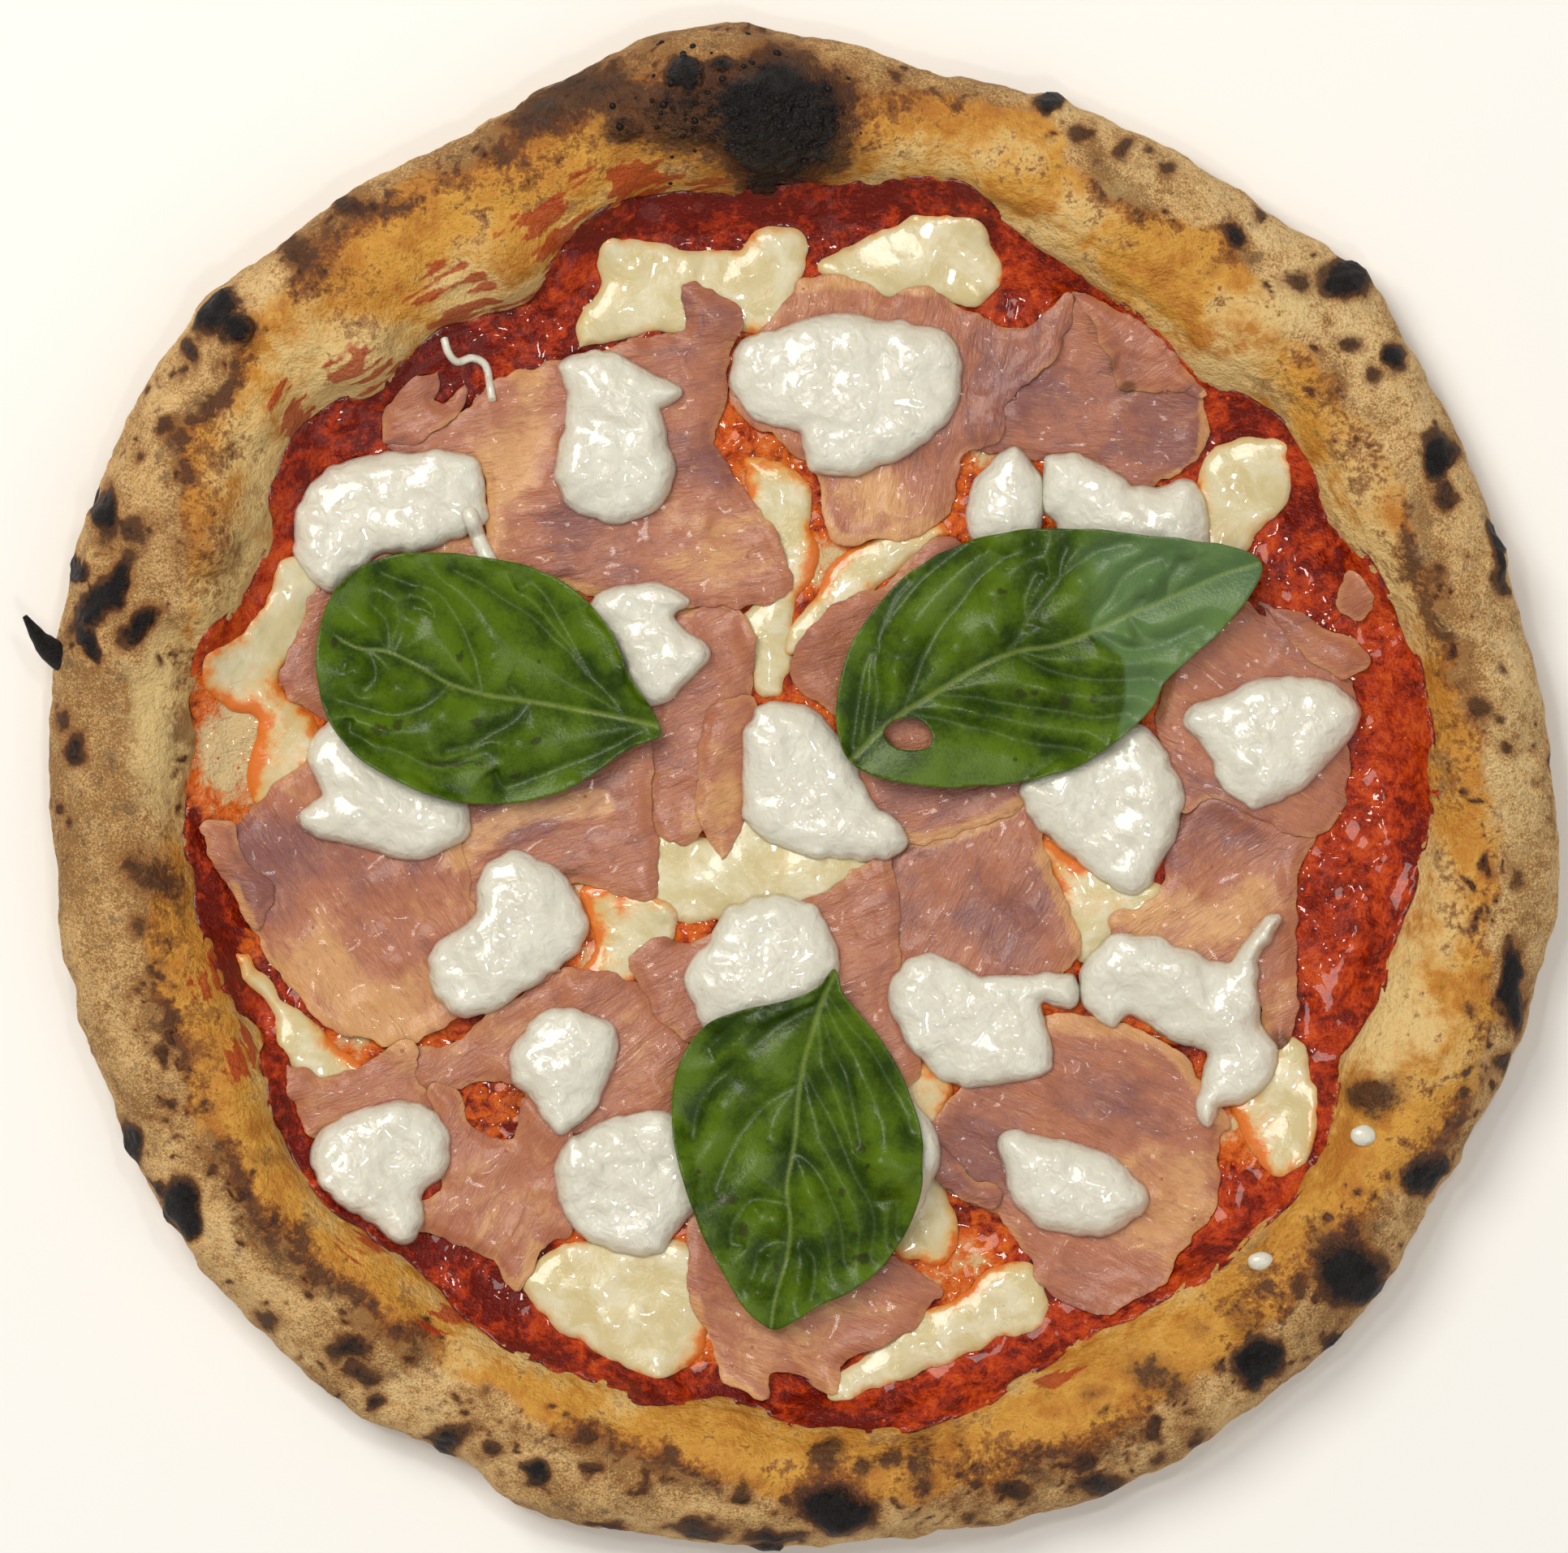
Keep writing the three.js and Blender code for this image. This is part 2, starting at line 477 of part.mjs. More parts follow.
// Delaunay triangles of the points, by adding them one at a time.
function delaunay(points) {
  const FAR = 1e4;
  const n = points.length;
  const all = [...points, new THREE.Vector2(-FAR, -FAR), new THREE.Vector2(FAR, -FAR),
    new THREE.Vector2(0, FAR)];
  let triangles = [withCircle([n, n + 1, n + 2], all)];
  points.forEach((p, i) => {
    const opened = triangles.filter((t) => t.centre.distanceToSquared(p) <= t.reach);
    triangles = triangles.filter((t) => t.centre.distanceToSquared(p) > t.reach);
    const sides = new Map();
    for (const [a, b] of opened.flatMap((t) => sidesOf(t.corners))) {
      const key = Math.min(a, b) + "," + Math.max(a, b);
      if (sides.has(key)) sides.delete(key);
      else sides.set(key, [a, b]);
    }
    for (const [a, b] of sides.values()) triangles.push(withCircle([a, b, i], all));
  });
  return triangles.map((t) => t.corners).filter((corners) => corners.every((k) => k < n));
}

// An outline, with an optional hole, as a flat mesh of points and triangles that face up.
function flatMesh(outline, spacing, seed, hole = []) {
  const draw = seededDraw(seed);
  const jitter = () => (draw() - 0.5) * 0.2 * spacing;
  const covers = (p) => isInside(p, outline) && !isInside(p, hole);
  const points = [...outline, ...hole];
  const isClear = (p) =>
    distanceToOutline(p, outline) > 0.5 * spacing && distanceToOutline(p, hole) > 0.5 * spacing;
  const box = new THREE.Box2().setFromPoints(outline);
  for (let row = 0; box.min.y + row * 0.87 * spacing < box.max.y; row++)
    for (let x = box.min.x + (row % 2) * 0.5 * spacing; x < box.max.x; x += spacing) {
      const p = new THREE.Vector2(x + jitter(), box.min.y + row * 0.87 * spacing + jitter());
      if (covers(p) && isClear(p)) points.push(p);
    }
  const middle = ([a, b, c]) =>
    points[a].clone().add(points[b]).add(points[c]).divideScalar(3);
  const facesUp = ([a, b, c]) =>
    points[b].clone().sub(points[a]).cross(points[c].clone().sub(points[a])) > 0;
  const triangles = delaunay(points)
    .filter((corners) => covers(middle(corners)))
    .map((corners) => (facesUp(corners) ? corners : corners.toReversed()));
  return { points, triangles };
}

// A solid with the flat mesh's plan: the same triangles above and below, and walls between them.
function slabGeometry({ points, triangles }, bottom, top) {
  const n = points.length;
  const positions = [top, bottom].flatMap((heights) =>
    points.flatMap((p, i) => [p.x, p.y, heights[i]]));
  const index = [];
  const open = new Map();
  for (const corners of triangles) {
    const [a, b, c] = corners;
    index.push(a, b, c, a + n, c + n, b + n);
    for (const [from, to] of sidesOf(corners)) {
      if (open.has(to + "," + from)) open.delete(to + "," + from);
      else open.set(from + "," + to, [from, to]);
    }
  }
  for (const [a, b] of open.values()) index.push(a, a + n, b + n, a, b + n, b);
  return indexedGeometry(positions, index);
}

// ---------------------------------------------------------------- the height map
// The height of the uppermost surface so far, on a square grid over the pizza.
const MAP_HALF = 160;
const MAP_CELLS = Math.round((2 * MAP_HALF) / MAP_CELL);
const cellMiddle = (i) => -MAP_HALF + (i + 0.5) * MAP_CELL;
const cellOf = (x) => Math.floor((x + MAP_HALF) / MAP_CELL);
const newMap = (height) => new Float32Array(MAP_CELLS * MAP_CELLS).fill(height);

// Calls visit(cell, weights) for every cell whose middle is in the triangle.
function visitCells([a, b, c], visit) {
  const EDGE = -0.02; // cells just outside count too
  const ab = b.clone().sub(a);
  const ac = c.clone().sub(a);
  const area = ab.cross(ac);
  const box = new THREE.Box2().setFromPoints([a, b, c]);
  for (let row = cellOf(box.min.y); row <= cellOf(box.max.y); row++)
    for (let column = cellOf(box.min.x); column <= cellOf(box.max.x); column++) {
      const p = new THREE.Vector2(cellMiddle(column), cellMiddle(row)).sub(a);
      const weights = [0, p.cross(ac) / area, ab.cross(p) / area];
      weights[0] = 1 - weights[1] - weights[2];
      if (weights.every((w) => w >= EDGE)) visit(row * MAP_CELLS + column, weights);
    }
}

const blend = (corners, weights, heights) =>
  corners.reduce((sum, k, i) => sum + weights[i] * heights[k], 0);

function raiseMap(map, { points, triangles }, heights) {
  for (const corners of triangles)
    visitCells(corners.map((k) => points[k]), (cell, weights) => {
      map[cell] = Math.max(map[cell], blend(corners, weights, heights));
    });
}

// The highest value in a cell and those round it, so that a steep edge is never cut.
function highestNear(map, cell) {
  const around = [];
  for (let row = -1; row <= 1; row++)
    for (let column = -1; column <= 1; column++)
      around.push(map[cell + row * MAP_CELLS + column]);
  return Math.max(...around);
}

// Heights smoothed over the flat mesh's neighbours. `settle` gives each new height from the old one
// and the mean of those round it.
function smoothHeights({ points, triangles }, heights, rounds, settle) {
  const neighbours = points.map(() => new Set());
  for (const [a, b] of triangles.flatMap(sidesOf)) {
    neighbours[a].add(b);
    neighbours[b].add(a);
  }
  let current = heights;
  for (let round = 0; round < rounds; round++) {
    const before = current;
    current = before.map((z, i) => {
      const around = [...neighbours[i]];
      const mean = around.reduce((sum, k) => sum + before[k], 0) / around.length;
      return settle(z, mean);
    });
  }
  return current;
}

// Lowers a flat mesh onto a floor. `stiffness` rounds carry it over small dips, and then its corners
// are raised until it is clear everywhere.
function drape(flat, floorAt, stiffness) {
  const CLEARING_ROUNDS = 60;
  const { points, triangles } = flat;
  const samples = [];
  for (const corners of triangles)
    visitCells(corners.map((k) => points[k]), (cell, weights) =>
      samples.push({ corners, weights, floor: floorAt(cell) }));
  const start = points.map((p) => floorAt(cellOf(p.y) * MAP_CELLS + cellOf(p.x)));
  const heights = smoothHeights(flat, start, stiffness, (z, mean) => Math.max(z, (z + mean) / 2));
  for (let round = 0; round < CLEARING_ROUNDS; round++)
    for (const { corners, weights, floor } of samples) {
      const lack = floor - blend(corners, weights, heights);
      if (lack <= 0) continue;
      const grip = weights.reduce((sum, w) => sum + w * w, 0);
      corners.forEach((k, i) => {
        heights[k] += (lack * Math.max(0, weights[i])) / grip;
      });
    }
  return heights;
}

// ---------------------------------------------------------------- laying the toppings
const pizza = new THREE.Group();
const surface = newMap(FLOOR_HEIGHT); // the top of all that is laid so far
const onSurface = (cell) => highestNear(surface, cell) + GAP;
const numbered = (kind, i) => kind + "_" + String(i + 1).padStart(2, "0");

function addMesh(name, geometry, material) {
  const mesh = new THREE.Mesh(geometry, material);
  mesh.name = name;
  pizza.add(mesh);
}

// A topping's outline, kept clear of the rim's inner wall.
function toppingOutline(points, perPoint = 2) {
  return closedCurve(points.map(toPlan), perPoint).map((p) => {
    const limit = reachAlong(innerEdge, p.angle()) - WALL_GAP;
    return p.length() > limit ? p.clone().setLength(limit) : p;
  });
}

// A rounded mound: thin at its edge, and full height from the shoulder inwards.
function moundThickness({ height, edge, shoulder }, p, outline) {
  const inward = Math.min(1, distanceToOutline(p, outline) / shoulder);
  return edge + (height - edge) * Math.sqrt(1 - (1 - inward) ** 2);
}

// Shallow waves over the plan, from 0 to 1.
const waves = (p, length) =>
  0.5 + 0.25 * Math.sin(p.x / length + 1.3) + 0.25 * Math.sin((p.y + 0.4 * p.x) / length);

function addLayer(name, flat, material, bottom, top) {
  addMesh(name, slabGeometry(flat, bottom, top), material);
  raiseMap(surface, flat, top);
}

function laySauce() {
  const outline = Array.from({ length: SAUCE_STATIONS }, (_, k) => {
    const angle = (k / SAUCE_STATIONS) * 2 * Math.PI;
    const reach = reachAlong(innerEdge, angle) - WALL_GAP;
    return new THREE.Vector2(reach * Math.cos(angle), reach * Math.sin(angle));
  });
  const flat = flatMesh(outline, SPACING.sauce, 1);
  const bottom = flat.points.map(() => FLOOR_HEIGHT + GAP);
  const top = flat.points.map((p, i) => bottom[i] + SAUCE_DEPTH + SAUCE_RIPPLE * waves(p, 9));
  addLayer("tomato_sauce", flat, FINISH.sauce, bottom, top);
}

// A soft mound that fills the dips under it: its top is a smooth cushion over an uneven base.
function layMound(name, points, shape, spacing, material, seed) {
  const BASE_ROUNDS = 6;
  const outline = toppingOutline(points);
  const flat = flatMesh(outline, spacing, seed);
  const bottom = drape(flat, onSurface, 0);
  const base = smoothHeights(flat, bottom, BASE_ROUNDS, (z, mean) => (z + mean) / 2);
  const top = flat.points.map((p, i) => {
    const cushion = base[i] + moundThickness(shape, p, outline) * (0.85 + 0.3 * waves(p, 5));
    return Math.max(cushion, bottom[i] + shape.edge);
  });
  addLayer(name, flat, material, bottom, top);
}

function layMozzarella(points, i) {
  const seed = 20 + i;
  const name = numbered("mozzarella", i);
  layMound(name, points, MOZZARELLA, SPACING.mozzarella, FINISH.mozzarella, seed);
}

function layDollop(points, i) {
  const seed = 120 + i;
  const name = numbered("stracciatella", i);
  layMound(name, points, DOLLOP, SPACING.dollop, FINISH.dollop, seed);
}

// A slice of ham. Its fold is a second layer that is one solid with it.
function layHam({ outline, fold }, i) {
  const flat = flatMesh(toppingOutline(outline), SPACING.ham, 50 + i);
  const bottom = drape(flat, onSurface, 2);
  const top = bottom.map((z) => z + HAM_THICKNESS);
  const slice = slabGeometry(flat, bottom, top);
  if (!fold) {
    addLayer(numbered("ham", i), flat, FINISH.ham, bottom, top);
    return;
  }
  const own = newMap(0);
  raiseMap(own, flat, top);
  const underFold = (cell) => Math.max(onSurface(cell), highestNear(own, cell) - FOLD_SUNK);
  const foldFlat = flatMesh(toppingOutline(fold), SPACING.ham, 80 + i);
  const foldBottom = drape(foldFlat, underFold, 0);
  const foldTop = foldBottom.map((z) => z + HAM_THICKNESS + FOLD_SUNK);
  const joined = toSolid(slice).add(toSolid(slabGeometry(foldFlat, foldBottom, foldTop)));
  addMesh(numbered("ham", i), toGeometry(joined), FINISH.ham);
  raiseMap(surface, flat, top);
  raiseMap(surface, foldFlat, foldTop);
}

// A leaf is a thin sheet, arched along its midrib.
function layLeaf({ name, outline, hole = [], midrib }, i) {
  const ARCH_REACH = 26; // how far from the midrib the arch dies out
  const rib = midrib.map(toPlan);
  const flat = flatMesh(toppingOutline(outline), SPACING.leaf, 160 + i, hole.map(toPlan));
  const bottom = drape(flat, onSurface, 6).map((z, k) => {
    const away = Math.min(1, distanceToLine(flat.points[k], rib) / ARCH_REACH);
    return z + LEAF_ARCH * (1 - away ** 2);
  });
  addLayer(name, flat, FINISH.leaf, bottom, bottom.map((z) => z + LEAF_THICKNESS));
}

addMesh("crust", crustGeometry(), FINISH.crust);
laySauce();
MOZZARELLA_PATCHES.forEach(layMozzarella);
HAM_SLICES.forEach(layHam);
STRACCIATELLA_DOLLOPS.forEach(layDollop);
BASIL_LEAVES.forEach(layLeaf);

// The origin is under the middle of the bounding box.
const middle = new THREE.Box3().setFromObject(pizza).getCenter(new THREE.Vector3());
pizza.position.set(-middle.x, -middle.y, 0);

export default pizza;
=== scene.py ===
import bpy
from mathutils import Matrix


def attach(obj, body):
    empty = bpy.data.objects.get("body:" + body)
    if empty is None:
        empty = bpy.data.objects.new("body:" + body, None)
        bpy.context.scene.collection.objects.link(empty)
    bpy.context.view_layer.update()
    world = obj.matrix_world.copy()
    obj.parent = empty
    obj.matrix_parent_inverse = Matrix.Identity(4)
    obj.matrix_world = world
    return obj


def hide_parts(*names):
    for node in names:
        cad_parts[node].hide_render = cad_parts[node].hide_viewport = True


bl_info = {
    "name": "Ham and Stracciatella Pizza",
    "version": (1, 0, 0),
    "blender": (4, 5, 0),
    "location": "3D View > Sidebar > Pizza",
    "description": "Bakes a pizza with a charred rim, sauce, mozzarella, ham, stracciatella and basil",
    "category": "Add Mesh",
}

import itertools
import math

import bpy
import numpy as np
from bpy.props import FloatProperty, FloatVectorProperty, IntProperty, PointerProperty
from mathutils import Vector
from mathutils.bvhtree import BVHTree
from mathutils.kdtree import KDTree
from mathutils.geometry import delaunay_2d_cdt

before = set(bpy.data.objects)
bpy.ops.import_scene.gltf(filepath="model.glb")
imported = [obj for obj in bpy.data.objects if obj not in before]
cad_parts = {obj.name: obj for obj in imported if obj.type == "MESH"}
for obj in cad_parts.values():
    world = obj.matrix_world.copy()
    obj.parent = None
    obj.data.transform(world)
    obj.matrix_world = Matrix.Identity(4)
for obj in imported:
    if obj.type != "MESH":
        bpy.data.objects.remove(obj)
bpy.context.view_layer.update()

MM = 0.001

# ---------------------------------------------------------------- the photograph's frame
# Places are written in pixels of the 1932 x 1913 photograph, which looks straight down.
PHOTO_WIDTH, PHOTO_HEIGHT = 1932, 1913
PHOTO_CENTRE = np.array([974.0, 963.0])
PHOTO_PIZZA_WIDTH = 1897
PIZZA_WIDTH = 316 * MM
PIXEL = PIZZA_WIDTH / PHOTO_PIZZA_WIDTH


def plan(pixels):
    """Photograph pixels as plan positions in metres."""
    offset = (np.atleast_2d(np.array(pixels, float)) - PHOTO_CENTRE) * PIXEL
    return offset * np.array([1, -1])


# The line on the rim between the golden inner side and the floured outer side, clockwise from the top.
GOLDEN_LINE = [
    (960, 120), (1130, 105), (1270, 140), (1330, 205), (1400, 255), (1500, 290), (1560, 370),
    (1600, 430), (1660, 500), (1710, 580), (1750, 700), (1785, 790), (1815, 900), (1838, 1020),
    (1840, 1190), (1825, 1290), (1785, 1390), (1735, 1450), (1670, 1510), (1600, 1590), (1530, 1650),
    (1450, 1710), (1370, 1765), (1290, 1805), (1150, 1835), (980, 1835), (850, 1810), (720, 1775),
    (560, 1690), (430, 1600), (330, 1510), (262, 1400), (205, 1270), (185, 1100), (235, 960),
    (215, 850), (230, 700), (220, 580), (290, 440), (390, 310), (530, 220), (690, 140), (830, 80),
]

# Burnt places on the rim: x, y, the two half widths in pixels, the tilt in degrees and the strength.
SCORCHES = [
    (880, 145, 132, 60, 0, 0.72), (742, 114, 112, 40, -14, 0.68), (965, 158, 74, 70, 0, 1.3),
    (948, 215, 28, 30, 0, 1.1), (845, 92, 20, 17, 0, 1.4), (895, 85, 22, 14, 0, 0.9),
    (668, 150, 44, 30, 20, 0.74), (1020, 140, 42, 50, 0, 0.8), (770, 165, 30, 22, 0, 0.8),
    (885, 24, 48, 9, 0, 0.8), (270, 384, 26, 28, 0, 1.2), (300, 414, 20, 18, 0, 1.1),
    (232, 436, 14, 18, 20, 0.7), (430, 265, 30, 13, -25, 0.7), (462, 256, 13, 10, 0, 0.8),
    (380, 318, 46, 26, -35, 0.62), (385, 362, 16, 14, 0, 0.55), (216, 525, 14, 14, 0, 0.6),
    (124, 622, 14, 46, 18, 1.0), (98, 702, 14, 15, 0, 1.2), (130, 735, 15, 52, -38, 1.1),
    (172, 768, 16, 28, -40, 0.9), (172, 660, 24, 22, 0, 0.62), (260, 670, 36, 50, 0, 0.5),
    (112, 795, 10, 26, 15, 0.9), (40, 770, 14, 14, 0, 1.2), (96, 925, 16, 17, 0, 0.75),
    (192, 1080, 42, 30, -20, 0.6), (205, 1090, 24, 16, -20, 0.75), (182, 1140, 20, 14, 0, 0.6),
    (192, 1215, 12, 14, 0, 0.5), (252, 1292, 22, 14, 0, 0.5), (256, 1362, 14, 10, 0, 0.6),
    (224, 1488, 20, 30, 0, 1.3), (158, 1410, 14, 26, 15, 1.0), (192, 1462, 13, 12, 0, 0.8),
    (330, 1426, 30, 13, 0, 0.55), (327, 1630, 18, 15, 0, 0.6), (428, 1660, 22, 18, 0, 0.75),
    (444, 1694, 24, 14, 0, 0.7), (462, 1722, 14, 12, 0, 0.75), (612, 1780, 13, 12, 0, 0.7),
    (660, 1808, 16, 15, 0, 0.9), (718, 1762, 20, 14, 0, 0.7), (726, 1804, 13, 12, 0, 0.65),
    (545, 1782, 44, 16, 35, 0.85), (740, 1884, 26, 10, 0, 0.8), (860, 1882, 34, 12, 0, 0.75),
    (920, 1832, 15, 15, 0, 0.7), (955, 1896, 34, 12, 0, 0.9), (1020, 1786, 26, 20, 0, 0.9),
    (1065, 1805, 14, 12, 0, 0.85), (1093, 1798, 12, 11, 0, 0.75), (1132, 1800, 24, 40, 0, 0.75),
    (1030, 1850, 42, 30, -10, 1.15), (1240, 1834, 22, 13, 0, 0.85), (1180, 1772, 15, 12, 0, 0.6),
    (1240, 1790, 20, 12, 0, 0.6), (1330, 1800, 16, 13, 0, 0.75), (1350, 1828, 26, 12, 0, 0.8),
    (1290, 1716, 12, 10, 0, 0.45), (1345, 1716, 20, 13, 0, 0.55), (1420, 1692, 40, 24, -30, 0.75),
    (1420, 1758, 15, 13, 0, 0.7), (1476, 1774, 15, 13, 0, 0.7), (1475, 1636, 14, 12, 0, 0.5),
    (1530, 1616, 30, 20, -30, 0.6), (1552, 1676, 28, 26, 0, 1.4), (1500, 1682, 14, 12, 0, 0.65),
    (1650, 1652, 20, 15, 0, 0.85), (1660, 1562, 54, 30, -45, 1.25), (1756, 1450, 24, 24, 0, 1.35),
    (1690, 1345, 36, 24, 10, 1.0), (1862, 1218, 12, 46, 0, 1.25), (1846, 1310, 15, 15, 0, 0.75),
    (1872, 1080, 11, 16, 0, 0.5), (1820, 870, 20, 20, 0, 0.6), (1770, 566, 19, 26, 0, 1.2),
    (1780, 612, 14, 14, 0, 0.7), (1852, 672, 16, 42, 0, 1.2), (1760, 702, 16, 14, 0, 0.5),
    (1720, 440, 14, 18, 0, 1.05), (1660, 420, 16, 12, 0, 0.6), (1600, 346, 20, 15, 0, 0.7),
    (1662, 346, 26, 20, 0, 1.25), (1640, 486, 14, 12, 0, 0.55), (1690, 462, 12, 12, 0, 0.6),
    (1516, 292, 18, 13, 0, 0.95), (1494, 332, 13, 12, 0, 0.5), (1686, 566, 13, 12, 0, 0.5),
    (1380, 186, 15, 12, 0, 0.65), (1330, 166, 13, 12, 0, 0.65), (1295, 126, 22, 10, 10, 1.15),
    (1440, 214, 13, 12, 0, 0.6), (1110, 130, 40, 20, 0, 0.45), (1560, 262, 16, 10, 40, 0.6),
]

# The burnt dome: where char keeps its full black on the golden side, and where it has bubbled.
DOME_BURN = (890, 145, 150, 80, 0, 1.0)
DOME_BUBBLES = (910, 140, 110, 56, 0, 1.0)

# Where sauce has run up the inner wall: x, y, half widths, tilt and strength.
SAUCE_SMEARS = [
    (600, 245, 150, 34, -22, 0.75), (720, 285, 90, 28, -35, 0.7), (820, 232, 110, 22, -8, 0.7),
    (560, 370, 90, 34, -30, 0.6), (480, 468, 70, 26, -20, 0.6), (420, 1555, 110, 24, 40, 0.55),
    (520, 1640, 90, 20, 30, 0.5), (1290, 1680, 70, 22, -30, 0.55), (255, 1200, 50, 20, 70, 0.5),
    (300, 1290, 50, 18, 70, 0.5), (1000, 240, 160, 14, 0, 0.6), (370, 520, 60, 22, -55, 0.5),
]

# Where the sauce is painted darker: thick sauce, and along the rim's inner wall painted shade where the rim
# overhangs the sauce. Each is x, y, half widths, tilt and strength.
SAUCE_THICK_AND_SHADE = [
    (880, 262, 320, 50, 0, 1.0), (560, 400, 130, 70, 40, 1.0), (390, 500, 60, 90, 30, 1.0),
    (250, 1140, 36, 110, 0, 1.0), (320, 1370, 50, 120, 30, 0.9), (560, 1590, 160, 50, -35, 0.9),
    (880, 1740, 220, 40, -5, 0.8), (1400, 330, 130, 60, -40, 0.9), (1560, 520, 50, 90, 30, 0.8),
    (700, 470, 60, 60, 0, 0.9), (1620, 620, 30, 80, 20, 0.6), (620, 1380, 40, 40, 0, 0.6),
    (1690, 980, 60, 230, 0, -0.8), (1640, 1240, 60, 120, 20, -0.7),
]

# The part of a slice that is turned back over it.
HAM_FOLDS = {
    "ham_08": [(250, 1022), (285, 1010), (298, 1055), (330, 1098), (312, 1145), (272, 1075)],
    "ham_12": [(1322, 360), (1400, 393), (1484, 482), (1440, 476), (1385, 486), (1374, 450),
               (1345, 402)],
    "ham_15": [(1548, 742), (1592, 755), (1682, 804), (1674, 826), (1650, 836), (1602, 797)],
    "ham_19": [(1148, 1440), (1146, 1402), (1200, 1446), (1238, 1468), (1226, 1488), (1168, 1464)],
}

# Bands of fat in the ham: a line in pixels and its half width in millimetres.
FAT_BANDS = [
    ([(1300, 1258), (1400, 1268), (1452, 1294), (1514, 1380)], 4.5),
    ([(1284, 1050), (1312, 1110), (1336, 1168)], 3.5),
    ([(1080, 1020), (1150, 1034), (1240, 1000), (1290, 955)], 3.0),
    ([(1440, 590), (1480, 560), (1486, 485)], 2.0),
    ([(285, 1095), (335, 1195), (410, 1262), (485, 1286)], 3.0),
    ([(600, 1560), (640, 1588), (660, 1540)], 3.0),
    ([(850, 752), (700, 722), (600, 690)], 2.5),
    ([(990, 350), (1060, 345), (1145, 356)], 3.0),
    ([(1000, 585), (1035, 666), (1145, 645)], 3.0),
    ([(855, 1600), (885, 1690), (940, 1730)], 2.5),
    ([(560, 1060), (640, 1000), (740, 990)], 5.0),
]

